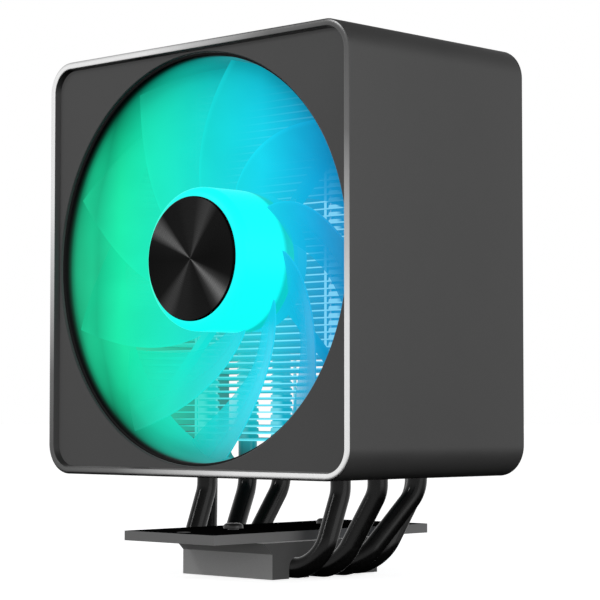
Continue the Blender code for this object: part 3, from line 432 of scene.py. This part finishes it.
def base_material():
    """The block: milled metal with lines along it, with painted shade making its end faces near black where the pipes
    go in.
    """
    material, tree, shader = start_material("machined_base_painted_shade")
    geometry = tree.nodes.new("ShaderNodeNewGeometry")
    split = tree.nodes.new("ShaderNodeSeparateXYZ")
    tree.links.new(geometry.outputs["Normal"], split.inputs["Vector"])
    # painted shade: faces that point along x are made near black
    end = remap(tree, math_node(tree, "ABSOLUTE", split.outputs["X"]), 0.5, 0.9, 0.0, 1.0)
    lines = object_noise(tree, 1500.0, 3.0, (1.0, 8.0, 8.0))
    mixed = math_node(tree, "ADD", math_node(tree, "MULTIPLY", end, 0.8), math_node(tree, "MULTIPLY", lines, 0.2))
    tree.links.new(ramp(tree, mixed, [(0.05, grey(0.36)), (0.15, grey(0.44)), (0.9, grey(0.045))]),
                   shader.inputs["Base Color"])
    tree.links.new(remap(tree, lines, 0.3, 0.7, 0.38, 0.46), shader.inputs["Roughness"])
    add_bump(tree, shader, lines, 0.00001)
    return material


def plate_material():
    """The crossbar: paler, bare metal round its cut edge, and painted shade making its broad faces near black."""
    material, tree, shader = start_material("plate_coat_painted_shade")
    geometry = tree.nodes.new("ShaderNodeNewGeometry")
    split = tree.nodes.new("ShaderNodeSeparateXYZ")
    tree.links.new(geometry.outputs["Normal"], split.inputs["Vector"])
    # painted shade: faces that point up or down are made near black
    broad = remap(tree, math_node(tree, "ABSOLUTE", split.outputs["Z"]), 0.5, 0.9, 0.0, 1.0)
    tree.links.new(ramp(tree, broad, [(0.0, grey(0.27)), (1.0, grey(0.006))]), shader.inputs["Base Color"])
    fine = object_noise(tree, 2000.0)
    tree.links.new(remap(tree, fine, 0.3, 0.7, 0.40, 0.50), shader.inputs["Roughness"])
    shader.inputs["Specular IOR Level"].default_value = 0.0
    add_bump(tree, shader, fine, 0.000012)
    return material


def board_material():
    material, tree, shader = start_material("circuit_board")
    coordinates = tree.nodes.new("ShaderNodeTexCoord")
    tracks = add_node(tree, "ShaderNodeTexVoronoi", feature="DISTANCE_TO_EDGE", Scale=420.0)
    tree.links.new(coordinates.outputs["Object"], tracks.inputs["Vector"])
    tree.links.new(ramp(tree, tracks.outputs["Distance"], [(0.04, (0.03, 0.20, 0.08)), (0.10, (0.012, 0.09, 0.035))]),
                   shader.inputs["Base Color"])
    tree.links.new(remap(tree, tracks.outputs["Distance"], 0.0, 0.2, 0.30, 0.45), shader.inputs["Roughness"])
    return material


def winding_material():
    material, tree, shader = start_material("copper_winding")
    coordinates = tree.nodes.new("ShaderNodeTexCoord")
    wires = add_node(tree, "ShaderNodeTexWave", wave_type="BANDS", bands_direction="Y", Scale=900.0)
    tree.links.new(coordinates.outputs["Object"], wires.inputs["Vector"])
    tree.links.new(ramp(tree, wires.outputs["Fac"], [(0.0, (0.25, 0.09, 0.04)), (0.6, (0.62, 0.27, 0.13))]),
                   shader.inputs["Base Color"])
    shader.inputs["Metallic"].default_value = 1.0
    shader.inputs["Roughness"].default_value = 0.32
    add_bump(tree, shader, wires.outputs["Fac"], 0.00008)
    return material


def make_materials():
    return {
        "coat": coated_material("fine_black_coat", grey(0.064), 0.46, 0.0, 2200.0, 0.000012),
        "rim": polished_rim_material(),
        "inner": inner_wall_material(),
        "panel": coated_material("satin_panel", grey(0.068), 0.42, 0.0, 2600.0, 0.000008),
        "rubber": coated_material("pad_rubber", grey(0.020), 0.85, 0.0, 1200.0, 0.00003),
        "blade": lit_blade_material(),
        "hub": lit_hub_material(),
        "disc": turned_disc_material(),
        "fin": fin_material(),
        "pipe": pipe_material(),
        "frame": lit_frame_material(),
        "base": base_material(),
        "plate": plate_material(),
        "steel": coated_material("bright_steel", grey(0.42), 0.30, 1.0, 1300.0, 0.000006),
        "screw": coated_material("black_screw", grey(0.050), 0.32, 0.8, 1500.0, 0.000008),
        "ferrite": coated_material("ferrite", grey(0.045), 0.60, 0.0, 1500.0, 0.00001),
        "brass": coated_material("sintered_brass", (0.50, 0.37, 0.15), 0.38, 1.0, 2500.0, 0.00001),
        "board": board_material(),
        "winding": winding_material(),
    }


# ---------------------------------------------------------------- mesh tools

def finish_mesh(name, bm, materials, sharp=35.0):
    bmesh.ops.remove_doubles(bm, verts=bm.verts, dist=0.000001)
    bmesh.ops.recalc_face_normals(bm, faces=bm.faces)
    mesh = bpy.data.meshes.new(name)
    bm.to_mesh(mesh)
    bm.free()
    mesh.shade_smooth()
    mesh.set_sharp_from_angle(angle=math.radians(sharp))
    for material in materials:
        mesh.materials.append(material)
    piece = bpy.data.objects.new(name, mesh)
    bpy.context.scene.collection.objects.link(piece)
    return piece


def register(piece, body, slot, *nodes):
    """Hides the CAD nodes a piece stands in for and hangs it on its body's empty. Gloss shows only the studio, as the
    pieces would mirror the fan's light too strongly.
    """
    piece.visible_glossy = False
    if nodes:
        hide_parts(*nodes)
    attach(piece, body)
    return piece


def rectangle(width, height, radius, centre=(0.0, 0.0), steps=12):
    outline = []
    for turn, (side_x, side_z) in enumerate(((1, 1), (-1, 1), (-1, -1), (1, -1))):
        corner_x = centre[0] + side_x * (width / 2 - radius)
        corner_z = centre[1] + side_z * (height / 2 - radius)
        for step in range(steps + 1):
            angle = math.radians(90 * (turn + step / steps))
            outline.append((corner_x + radius * math.cos(angle), corner_z + radius * math.sin(angle)))
    return outline


def circle(radius, centre=(0.0, 0.0), sides=32):
    turns = [2 * math.pi * index / sides for index in range(sides)]
    return [(centre[0] + radius * math.cos(turn), centre[1] + radius * math.sin(turn)) for turn in turns]


def add_prism(bm, outline, start, end, axis="Y"):
    place = {
        "Y": lambda point, along: (point[0], along, point[1]),
        "Z": lambda point, along: (point[0], point[1], along),
        "X": lambda point, along: (along, point[0], point[1]),
    }[axis]
    rings = [[bm.verts.new(place(point, along)) for point in outline] for along in (start, end)]
    bm.faces.new(rings[0])
    bm.faces.new(rings[1])
    for index in range(len(outline)):
        after = (index + 1) % len(outline)
        bm.faces.new((rings[0][index], rings[0][after], rings[1][after], rings[1][index]))


def add_box(bm, low, high):
    add_prism(bm, [(low[0], low[1]), (high[0], low[1]), (high[0], high[1]), (low[0], high[1])], low[2], high[2], "Z")


def bridge_rings(bm, rings, closed=True):
    faces = []
    count = len(rings)
    for index in range(count if closed else count - 1):
        ring, after = rings[index], rings[(index + 1) % count]
        sides = max(len(ring), len(after))
        for side in range(sides):
            far = (side + 1) % sides
            corners = [ring[side % len(ring)], ring[far % len(ring)], after[far % len(after)], after[side % len(after)]]
            corners = list(dict.fromkeys(corners))
            if len(corners) > 2:
                faces.append(bm.faces.new(corners))
    return faces


def add_turned(bm, profile, sides, centre=(0.0, 0.0)):
    rings = []
    for radius, along in profile:
        if radius == 0:
            rings.append([bm.verts.new((centre[0], along, centre[1]))])
        else:
            rings.append([bm.verts.new((x, along, z)) for x, z in circle(radius, centre, sides)])
    return bridge_rings(bm, rings)


def cut(piece, cutter, operation="DIFFERENCE"):
    """Applies a Boolean to piece and removes the cutter."""
    modifier = piece.modifiers.new("cut", "BOOLEAN")
    modifier.operation = operation
    modifier.object = cutter
    modifier.solver = "EXACT"
    graph = bpy.context.evaluated_depsgraph_get()
    made = bpy.data.meshes.new_from_object(piece.evaluated_get(graph))
    piece.modifiers.clear()
    piece.data = made
    bpy.data.objects.remove(cutter, do_unlink=True)
    made.shade_smooth()
    made.set_sharp_from_angle(angle=math.radians(35))


def bevelled(bm, width, segments=2, angle=40.0):
    edges = [edge for edge in bm.edges if len(edge.link_faces) == 2
             and edge.calc_face_angle(0.0) > math.radians(angle)]
    bmesh.ops.bevel(bm, geom=edges, offset=width, segments=segments, profile=0.5, affect="EDGES")


# ---------------------------------------------------------------- pieces

def build_shell(materials):
    """The shroud as one wall swept round its rounded square, with small chamfers at both ends."""
    width = SHELL_HIGH.x - SHELL_LOW.x
    height = SHELL_HIGH.z - SHELL_LOW.z
    front, back = SHELL_LOW.y, SHELL_HIGH.y
    wall = SHELL_WALL
    profile = [
        (0.0, front + 0.00045), (0.00012, front + 0.00014), (0.00042, front), (wall - 0.00030, front),
        (wall - 0.00006, front + 0.00010), (wall, front + 0.00036), (wall, back - 0.0003),
        (wall - 0.0003, back), (0.0003, back), (0.0, back - 0.0003),
    ]
    bm = bmesh.new()
    rings = []
    for inset, along in profile:
        outline = rectangle(width - 2 * inset, height - 2 * inset, SHELL_CORNER - inset, (0.0, HUB_Z), 20)
        rings.append([bm.verts.new((x, along, z)) for x, z in outline])
    faces = bridge_rings(bm, rings)
    around = len(rings[0])
    for index, face in enumerate(faces):
        if index // around in (1, 2, 3):
            face.material_index = 1
        elif index // around == 5:
            face.material_index = 2
    shell = finish_mesh("shroud", bm, [materials["coat"], materials["rim"], materials["inner"]], 30.0)

    bm = bmesh.new()
    slot_low, slot_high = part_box("heat_pipe_2")
    outer = slot_high.x + 0.0015
    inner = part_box("heat_pipe_1")[1].x - 2 * PIPE_RADIUS - 0.0015
    centre_y = (STACK_LOW.y + STACK_HIGH.y) / 2
    length = 2 * (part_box("heat_pipe_4")[1].y - centre_y + 0.0015)
    for side in (-1, 1):
        outline = rectangle(outer - inner, length, 0.003, (side * (inner + outer) / 2, centre_y), 6)
        add_prism(bm, outline, SHELL_LOW.z - 0.002, SHELL_LOW.z + 0.004, "Z")
    cut(shell, finish_mesh("slots", bm, []))
    return register(shell, "cooler", "black_metal", "shroud_shell")


def build_panel(materials):
    width = PANEL_HIGH.x - PANEL_LOW.x
    height = PANEL_HIGH.z - PANEL_LOW.z
    thickness = 0.0008
    bm = bmesh.new()
    add_prism(bm, rectangle(width, height, SHELL_CORNER - SHELL_WALL - GAP, (0.0, HUB_Z), 16),
              PANEL_LOW.y, PANEL_LOW.y + thickness)
    panel = finish_mesh("front_cover", bm, [materials["panel"]])
    bm = bmesh.new()
    lip = 0.00025
    add_turned(bm, [(0, PANEL_LOW.y - 0.01), (PANEL_OPENING + lip, PANEL_LOW.y - 0.01),
                    (PANEL_OPENING + lip, PANEL_LOW.y), (PANEL_OPENING, PANEL_LOW.y + lip),
                    (PANEL_OPENING, PANEL_LOW.y + 0.01), (0, PANEL_LOW.y + 0.01)], 192, (0.0, HUB_Z))
    cut(panel, finish_mesh("opening", bm, []))
    return register(panel, "cooler", "panel_grey", "front_panel")


def blade_point(radius, along, offset):
    share = max(0.0, (radius - HUB_RADIUS) / (TIP_RADIUS - HUB_RADIUS))
    twist = BLADE_TWIST + BLADE_TWIST_BULGE * 4 * share * (1 - share)
    front = BLADE_PHASE - BLADE_SWEEP * share + BLADE_SWEEP_EASE * share ** 2
    angle = math.radians(front - twist * along)
    front_y = ROTOR_LOW.y + BLADE_ROOT_FRONT + (BLADE_TIP_FRONT - BLADE_ROOT_FRONT) * share
    root_y = HUB_BACK - 0.0003
    rear_y = root_y + (FRAME_HIGH.y - STRUT_DEPTH - 0.0014 - root_y) * min(1.0, share / BLADE_REAR_SPREAD)
    bow = 0.05 * math.sin(math.pi * along)
    y = front_y + (rear_y - front_y) * (along + bow)
    normal = offset * BLADE_THICKNESS / 2 * math.sqrt(max(0.06, math.sin(math.pi * min(1.0, along + 0.02))))
    return Vector((radius * math.cos(angle), y + normal, HUB_Z + radius * math.sin(angle)))


def build_blades(materials):
    root_radius = HUB_RADIUS - HUB_WALL / 2
    spans, chords = 22, 14
    bm = bmesh.new()
    edge_layer = bm.verts.layers.float.new("edge")
    along_layer = bm.verts.layers.float.new("along")
    for blade in range(BLADE_COUNT):
        turn = Matrix.Translation((0, 0, HUB_Z)) @ Matrix.Rotation(2 * math.pi * blade / BLADE_COUNT, 4, "Y")
        turn = turn @ Matrix.Translation((0, 0, -HUB_Z))
        skins = []
        for offset in (-1, 1):
            rows = []
            for span in range(spans + 1):
                radius = root_radius + (TIP_RADIUS - root_radius) * span / spans
                row = []
                for chord in range(chords + 1):
                    along = 0.5 - 0.5 * math.cos(math.pi * chord / chords)
                    vert = bm.verts.new(turn @ blade_point(radius, along, offset))
                    vert[edge_layer] = 1.0 if chord < 2 else 0.0
                    vert[along_layer] = along
                    row.append(vert)
                rows.append(row)
            skins.append(rows)
        for rows in skins:
            for span in range(spans):
                for chord in range(chords):
                    bm.faces.new((rows[span][chord], rows[span][chord + 1],
                                  rows[span + 1][chord + 1], rows[span + 1][chord]))
        rim = [(span, 0) for span in range(spans)] + [(spans, chord) for chord in range(chords)]
        rim += [(spans - span, chords) for span in range(spans)] + [(0, chords - chord) for chord in range(chords)]
        for index, (span, chord) in enumerate(rim):
            far_span, far_chord = rim[(index + 1) % len(rim)]
            bm.faces.new((skins[0][span][chord], skins[0][far_span][far_chord],
                          skins[1][far_span][far_chord], skins[1][span][chord]))
    blades = finish_mesh("fan_blades", bm, [materials["blade"]], 50.0)
    return register(blades, "rotor", "frosted", "fan_rotor")


def build_hub(materials):
    front, back = ROTOR_LOW.y, HUB_BACK
    inside = HUB_RADIUS - HUB_WALL
    wall = 0.0015
    boss = 0.0036
    profile = [(0, front + wall), (0, front)]
    for step in range(13):
        angle = math.radians(90 * step / 12)
        profile.append((HUB_RADIUS - HUB_EDGE + HUB_EDGE * math.sin(angle),
                        front + HUB_EDGE - HUB_EDGE * math.cos(angle)))
    profile += [(HUB_RADIUS, back - 0.0003), (HUB_RADIUS - 0.0003, back), (inside, back),
                (inside, front + wall + 0.0012), (inside - 0.0012, front + wall), (boss, front + wall),
                (boss, front + wall + 0.0032), (0.0018, front + wall + 0.0032), (0.0018, front + wall)]
    bm = bmesh.new()
    add_turned(bm, profile, 128, (0.0, HUB_Z))
    hub = finish_mesh("fan_hub", bm, [materials["hub"]])
    return register(hub, "rotor", "frosted", "fan_rotor")


def build_frame(materials):
    """The fan's frame: a throat, two flanges with screw holes, and the motor's mount on four struts."""
    front, back = FRAME_LOW.y, FRAME_HIGH.y
    size = FRAME_HIGH.x - FRAME_LOW.x
    bm = bmesh.new()
    add_turned(bm, [(THROAT_RADIUS + 0.0004, front), (THROAT_RADIUS + 0.00012, front + 0.0001),
                    (THROAT_RADIUS, front + 0.0004), (THROAT_RADIUS, back - 0.0003), (THROAT_RADIUS + 0.0003, back),
                    (size / 2, back), (size / 2, front)], 160, (0.0, HUB_Z))
    register(finish_mesh("frame_throat", bm, [materials["frame"]]), "cooler", "black_plastic", "fan_frame")

    corner_place = size / 2 - SCREW_INSET
    for name, start in (("front", front), ("rear", back - 0.0010 - FLANGE_THICKNESS)):
        bm = bmesh.new()
        add_prism(bm, rectangle(size, size, 0.0070, (0.0, HUB_Z), 10), start, start + FLANGE_THICKNESS)
        bevelled(bm, 0.0003)
        flange = finish_mesh(f"frame_flange_{name}", bm, [materials["frame"]])
        bm = bmesh.new()
        add_prism(bm, circle(THROAT_RADIUS + 0.0006, (0.0, HUB_Z), 160), start - 0.01, start + 0.01)
        for side_x in (-1, 1):
            for side_z in (-1, 1):
                centre = (side_x * corner_place, HUB_Z + side_z * corner_place)
                add_prism(bm, circle(PANEL_BOSS_RADIUS + GAP, centre, 32), start - 0.01, start + 0.01)
        cut(flange, finish_mesh("flange_holes", bm, []))
        register(flange, "cooler", "black_plastic", "fan_frame")

    mount_front = back - MOTOR_MOUNT_DEPTH
    bm = bmesh.new()
    add_turned(bm, [(0, back), (0, mount_front), (MOTOR_MOUNT_RADIUS - 0.0008, mount_front),
                    (MOTOR_MOUNT_RADIUS, mount_front + 0.0008), (MOTOR_MOUNT_RADIUS, back - 0.0005),
                    (MOTOR_MOUNT_RADIUS - 0.0005, back)], 96, (0.0, HUB_Z))
    register(finish_mesh("motor_mount", bm, [materials["frame"]]), "cooler", "black_plastic", "fan_frame")
    bm = bmesh.new()
    half = STRUT_WIDTH / 2
    for index in range(4):
        turn = Matrix.Rotation(math.radians(45 + 90 * index), 4, "Y")
        first = len(bm.verts)
        outline = [(-half, back - 0.0004), (-half + 0.0012, back - STRUT_DEPTH), (half - 0.0004, back - STRUT_DEPTH),
                   (half, back - STRUT_DEPTH + 0.0006), (half, back - 0.0002), (-half + 0.0004, back)]
        add_prism(bm, [(y, z) for z, y in outline], MOTOR_MOUNT_RADIUS * 0.9, THROAT_RADIUS + 0.0005, "X")
        bm.verts.ensure_lookup_table()
        for vert in bm.verts[first:]:
            vert.co = turn @ vert.co + Vector((0.0, 0.0, HUB_Z))
    register(finish_mesh("frame_struts", bm, [materials["frame"]]), "cooler", "black_plastic", "fan_frame")


def build_screws(materials):
    """Round-headed screws with hexagon sockets, on the sizes of their nodes' boxes."""
    nodes = [f"fan_screw_{index}" for index in range(1, 5)]
    nodes += [f"bracket_screw_{end}" for end in ("top_left", "top_right", "bottom_left", "bottom_right")]
    nodes += ["plate_screw_front", "plate_screw_rear"]
    for node in nodes:
        low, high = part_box(node)
        upright = node.startswith("plate")
        head = (high.x - low.x) / 2
        top, end = (high.z, low.z) if upright else (high.y, low.y)
        height = 0.0020 if node.startswith("fan") else 0.0016
        shank = 0.0015 if upright else 0.0014
        length = top - end
        profile = [(0, 0)]
        for step in range(7):
            angle = math.radians(90 * step / 6)
            profile.append((head * (0.55 + 0.45 * math.sin(angle)), -height * 0.62 * (1 - math.cos(angle))))
        profile += [(head, -height + 0.0001), (head - 0.0001, -height), (shank, -height),
                    (shank, -length + 0.0004), (shank - 0.0004, -length), (0, -length)]
        bm = bmesh.new()
        add_turned(bm, profile, 40)
        screw = finish_mesh(node + "_detail", bm, [materials["screw"]])
        bm = bmesh.new()
        add_prism(bm, circle(head * 0.42, sides=6), -height * 0.6, 0.001)
        cut(screw, finish_mesh("socket", bm, []))
        turn = Matrix.Rotation(math.radians(90), 4, "X") if upright else Matrix.Identity(4)
        middle = (low + high) / 2
        place = Vector((middle.x, middle.y, top)) if upright else Vector((middle.x, top, middle.z))
        screw.data.transform(Matrix.Translation(place) @ turn)
        register(screw, "cooler", "screw_steel", node)


def build_cap(materials):
    """The hub's turned disc, with a chamfered rim and one shallow step near its edge."""
    radius = (CAP_HIGH.x - CAP_LOW.x) / 2
    front, back = CAP_LOW.y, CAP_HIGH.y
    profile = [(0, back), (0, front + 0.00012), (radius * 0.5, front + 0.00008), (radius - 0.0012, front + 0.00003),
               (radius - 0.0009, front), (radius - 0.0003, front), (radius, front + 0.0003), (radius, back)]
    bm = bmesh.new()
    add_turned(bm, profile, 160, (0.0, HUB_Z))
    cap = finish_mesh("hub_disc", bm, [materials["disc"]], 40.0)
    return register(cap, "rotor", "spun_metal", "hub_cap")


def pipe_legs():
    """(x, y) of the legs on the right, front to back, and each pipe's y in the base."""
    places = []
    for index in range(1, 5):
        low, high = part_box(f"heat_pipe_{index}")
        places.append((high.x - PIPE_RADIUS, high.y - PIPE_RADIUS, low.y + PIPE_RADIUS))
    return places


def rounded_path(corners, radii, steps=14):
    points = [corners[0]]
    for before, corner, after, radius in zip(corners, corners[1:], corners[2:], radii):
        back = (before - corner).normalized()
        ahead = (after - corner).normalized()
        half_angle = back.angle(ahead) / 2
        reach = radius / math.tan(half_angle)
        middle = corner + (back + ahead).normalized() * radius / math.sin(half_angle)
        start = corner + back * reach - middle
        end = corner + ahead * reach - middle
        sweep = start.angle(end)
        for step in range(steps + 1):
            share = step / steps
            arm = start * math.sin((1 - share) * sweep) + end * math.sin(share * sweep)
            points.append(middle + arm / math.sin(sweep))
    points.append(corners[-1])
    return points


def build_pipes(materials):
    for index, (leg_x, leg_y, base_y) in enumerate(pipe_legs(), 1):
        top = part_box(f"heat_pipe_{index}")[1].z
        right = [Vector((PIPE_ELBOW_X, base_y, PIPE_RADIUS)),
                 Vector((leg_x, leg_y, SHELL_LOW.z - PIPE_BEND_DROP)), Vector((leg_x, leg_y, top))]
        left = [Vector((-point.x, point.y, point.z)) for point in reversed(right)]
        points = rounded_path(left + right, [PIPE_UPPER_BEND, PIPE_LOWER_BEND, PIPE_LOWER_BEND, PIPE_UPPER_BEND])
        route = bpy.data.curves.new(f"pipe_{index}", "CURVE")
        route.dimensions = "3D"
        route.bevel_depth = PIPE_RADIUS
        route.bevel_resolution = 8
        route.use_fill_caps = True
        spline = route.splines.new("POLY")
        spline.points.add(len(points) - 1)
        for target, point in zip(spline.points, points):
            target.co = (*point, 1.0)
        spline.use_smooth = True
        route.materials.append(materials["pipe"])
        pipe = bpy.data.objects.new(f"pipe_{index}", route)
        bpy.context.scene.collection.objects.link(pipe)
        register(pipe, "cooler", "pipe_black", f"heat_pipe_{index}")


def build_fins(materials):
    """One pressed fin with its pipe collars and folded tabs, then the whole stack of them."""
    bm = bmesh.new()
    add_box(bm, (STACK_LOW.x, STACK_LOW.y, 0.0), (STACK_HIGH.x, STACK_HIGH.y, FIN_THICKNESS))
    fin = finish_mesh("fin_master", bm, [materials["fin"]])
    bm = bmesh.new()
    for leg_x, leg_y, _ in pipe_legs():
        for side in (-1, 1):
            add_prism(bm, circle(PIPE_RADIUS + GAP / 2, (side * leg_x, leg_y), 28), -0.001, 0.001, "Z")
    cut(fin, finish_mesh("holes", bm, []))
    master = fin.data
    bpy.data.objects.remove(fin, do_unlink=True)

    count = 1 + round((STACK_HIGH.z - STACK_LOW.z - FIN_THICKNESS) / FIN_PITCH)
    bm = bmesh.new()
    for index in range(count):
        z = STACK_LOW.z + index * FIN_PITCH
        first = len(bm.verts)
        bm.from_mesh(master)
        bm.verts.ensure_lookup_table()
        for vert in bm.verts[first:]:
            vert.co.z += z
        if index == count - 1:
            continue
        top = z + FIN_PITCH - 0.00005
        for x in FIN_TAB_X:
            for start, depth in ((STACK_LOW.y, 0.0004), (STACK_HIGH.y - 0.0004, 0.0004)):
                add_box(bm, (x - FIN_TAB_WIDTH / 2, start, z + FIN_THICKNESS),
                        (x + FIN_TAB_WIDTH / 2, start + depth, top))
        for leg_x, leg_y, _ in pipe_legs():
            for side in (-1, 1):
                centre = (side * leg_x, leg_y)
                rings = []
                for extra, height in COLLAR_RINGS:
                    outline = circle(PIPE_RADIUS + extra, centre, 28)
                    rings.append([bm.verts.new((*point, z + height)) for point in outline])
                bridge_rings(bm, rings)
    bmesh.ops.recalc_face_normals(bm, faces=bm.faces)
    mesh = bpy.data.meshes.new("fins")
    bm.to_mesh(mesh)
    bm.free()
    mesh.shade_smooth()
    mesh.set_sharp_from_angle(angle=math.radians(35))
    if not mesh.materials:
        mesh.materials.append(materials["fin"])
    fins = bpy.data.objects.new("fins", mesh)
    bpy.context.scene.collection.objects.link(fins)
    register(fins, "cooler", "fin_black", "fin_stack")


def build_base(materials):
    low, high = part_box("base_block")
    half = (high.y - low.y) / 2 - BASE_FLARE
    outline = [(-half, low.z), (half, low.z), (half, BASE_SIDE_HEIGHT), (half + BASE_FLARE, high.z),
               (-half - BASE_FLARE, high.z), (-half, BASE_SIDE_HEIGHT)]
    bm = bmesh.new()
    add_prism(bm, outline, low.x, high.x, "X")
    bevelled(bm, 0.00025)
    base = finish_mesh("cold_plate", bm, [materials["base"]])
    bm = bmesh.new()
    radius = PIPE_RADIUS + GAP / 2
    for _, _, y in pipe_legs():
        arch = [(y + radius * math.cos(math.pi * step / 20), PIPE_RADIUS + radius * math.sin(math.pi * step / 20))
                for step in range(21)]
        add_prism(bm, [(y + radius, -0.002)] + arch + [(y - radius, -0.002)], low.x * 2, high.x * 2, "X")
    cut(base, finish_mesh("grooves", bm, []))
    register(base, "cooler", "base_grey", "base_block")

    low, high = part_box("mounting_plate")
    bm = bmesh.new()
    add_box(bm, low, high)
    bevelled(bm, 0.0002)
    plate = finish_mesh("crossbar", bm, [materials["plate"]])
    bm = bmesh.new()
    for y in (low.y + 0.0060, high.y - 0.0060):
        add_prism(bm, circle(0.0021, (0.0, y), 32), low.z - 0.002, high.z + 0.002, "Z")
    for end in ("front", "rear"):
        screw_low, screw_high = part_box(f"plate_screw_{end}")
        centre = (0.0, (screw_low.y + screw_high.y) / 2)
        add_prism(bm, circle(0.0018, centre, 32), low.z - 0.002, high.z + 0.002, "Z")
    cut(plate, finish_mesh("plate_holes", bm, []))
    register(plate, "cooler", "black_metal", "mounting_plate")


def dress_frame_nodes(materials):
    """Gives every CAD node that stays visible its own material."""
    looks = {
        "rotor_yoke": "steel", "magnet_ring": "ferrite", "rotor_shaft": "steel",
        "shaft_clip": "steel", "bearing_sleeve": "brass", "stator_core": "steel", "fan_circuit_board": "board",
        "stack_bracket_top": "coat", "stack_bracket_bottom": "coat",
    }
    for index in range(1, 5):
        looks[f"fan_pad_{index}"] = "rubber"
        looks[f"stator_coil_{index}"] = "winding"
    for node, look in looks.items():
        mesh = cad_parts[node].data
        mesh.materials.clear()
        mesh.materials.append(materials[look])


# ---------------------------------------------------------------- stage

def build_stage():
    bm = bmesh.new()
    size = 6.0
    bm.faces.new([bm.verts.new((x * size, y * size, 0.0)) for x, y in ((-1, -1), (1, -1), (1, 1), (-1, 1))])
    material, tree, shader = start_material("pale_floor")
    grain = object_noise(tree, 30.0)
    tree.links.new(ramp(tree, grain, [(0.3, grey(0.86)), (0.7, grey(0.88))]), shader.inputs["Base Color"])
    shader.inputs["Roughness"].default_value = 0.9
    shader.inputs["Emission Color"].default_value = (1.0, 1.0, 1.0, 1.0)
    shader.inputs["Emission Strength"].default_value = 0.80
    floor = finish_mesh("floor", bm, [material])
    floor.location.z = -0.0002
    floor.visible_diffuse = False
    floor.visible_glossy = False


def build_world():
    world = bpy.data.worlds.new("studio")
    world.use_nodes = True
    tree = world.node_tree
    background = tree.nodes["Background"]
    background.inputs["Color"].default_value = (1.0, 1.0, 1.0, 1.0)
    background.inputs["Strength"].default_value = 1.0
    soft = tree.nodes.new("ShaderNodeBackground")
    coordinates = tree.nodes.new("ShaderNodeTexCoord")
    split = tree.nodes.new("ShaderNodeSeparateXYZ")
    tree.links.new(coordinates.outputs["Generated"], split.inputs["Vector"])
    height = remap(tree, split.outputs["Z"], -1.0, 1.0, 0.0, 1.0)
    tree.links.new(ramp(tree, height, [
        (0.0, grey(0.0)), (0.37, grey(0.0)), (0.43, grey(0.82)), (0.62, grey(0.84)), (0.82, grey(0.16)),
        (1.0, grey(0.05))]),
                   soft.inputs["Color"])
    path = tree.nodes.new("ShaderNodeLightPath")
    mix = tree.nodes.new("ShaderNodeMixShader")
    tree.links.new(path.outputs["Is Camera Ray"], mix.inputs["Fac"])
    tree.links.new(soft.outputs["Background"], mix.inputs[1])
    tree.links.new(background.outputs["Background"], mix.inputs[2])
    tree.links.new(mix.outputs["Shader"], tree.nodes["World Output"].inputs["Surface"])
    bpy.context.scene.world = world


def add_area(name, place, target, size, power, colour=(1.0, 1.0, 1.0)):
    light = bpy.data.lights.new(name, "AREA")
    light.shape = "RECTANGLE"
    light.size, light.size_y = size
    light.energy = power
    light.color = colour
    lamp = bpy.data.objects.new(name, light)
    lamp.location = place
    lamp.rotation_mode = "QUATERNION"
    lamp.rotation_quaternion = (Vector(target) - Vector(place)).to_track_quat("-Z", "Y")
    lamp.visible_camera = False
    bpy.context.scene.collection.objects.link(lamp)


def build_lights():
    centre = (0.0, 0.0, 0.09)
    add_area("upper_softbox", (-0.50, -0.86, 0.66), centre, (0.22, 0.22), 1.5)
    add_area("right_fill", (1.1, 0.1, 0.35), centre, (0.9, 0.9), 3.0)


def build_camera():
    data = bpy.data.cameras.new("camera")
    data.sensor_width = 36.0
    data.lens = 128.57
    data.clip_start = 0.01
    camera = bpy.data.objects.new("camera", data)
    azimuth, pitch = math.radians(43.873), math.radians(2.997)
    forward = Vector((-math.sin(azimuth) * math.cos(pitch), math.cos(azimuth) * math.cos(pitch), math.sin(pitch)))
    camera.location = (0.45059, -0.46030, 0.04788)
    camera.rotation_mode = "QUATERNION"
    camera.rotation_quaternion = forward.to_track_quat("-Z", "Y")
    bpy.context.scene.collection.objects.link(camera)
    bpy.context.scene.camera = camera


MATERIALS = make_materials()
build_shell(MATERIALS)
build_panel(MATERIALS)
build_blades(MATERIALS)
build_hub(MATERIALS)
build_frame(MATERIALS)
build_screws(MATERIALS)
build_cap(MATERIALS)
build_pipes(MATERIALS)
build_fins(MATERIALS)
build_base(MATERIALS)
dress_frame_nodes(MATERIALS)
build_stage()
build_world()
build_lights()
build_camera()
bpy.context.scene.view_settings.view_transform = "Standard"
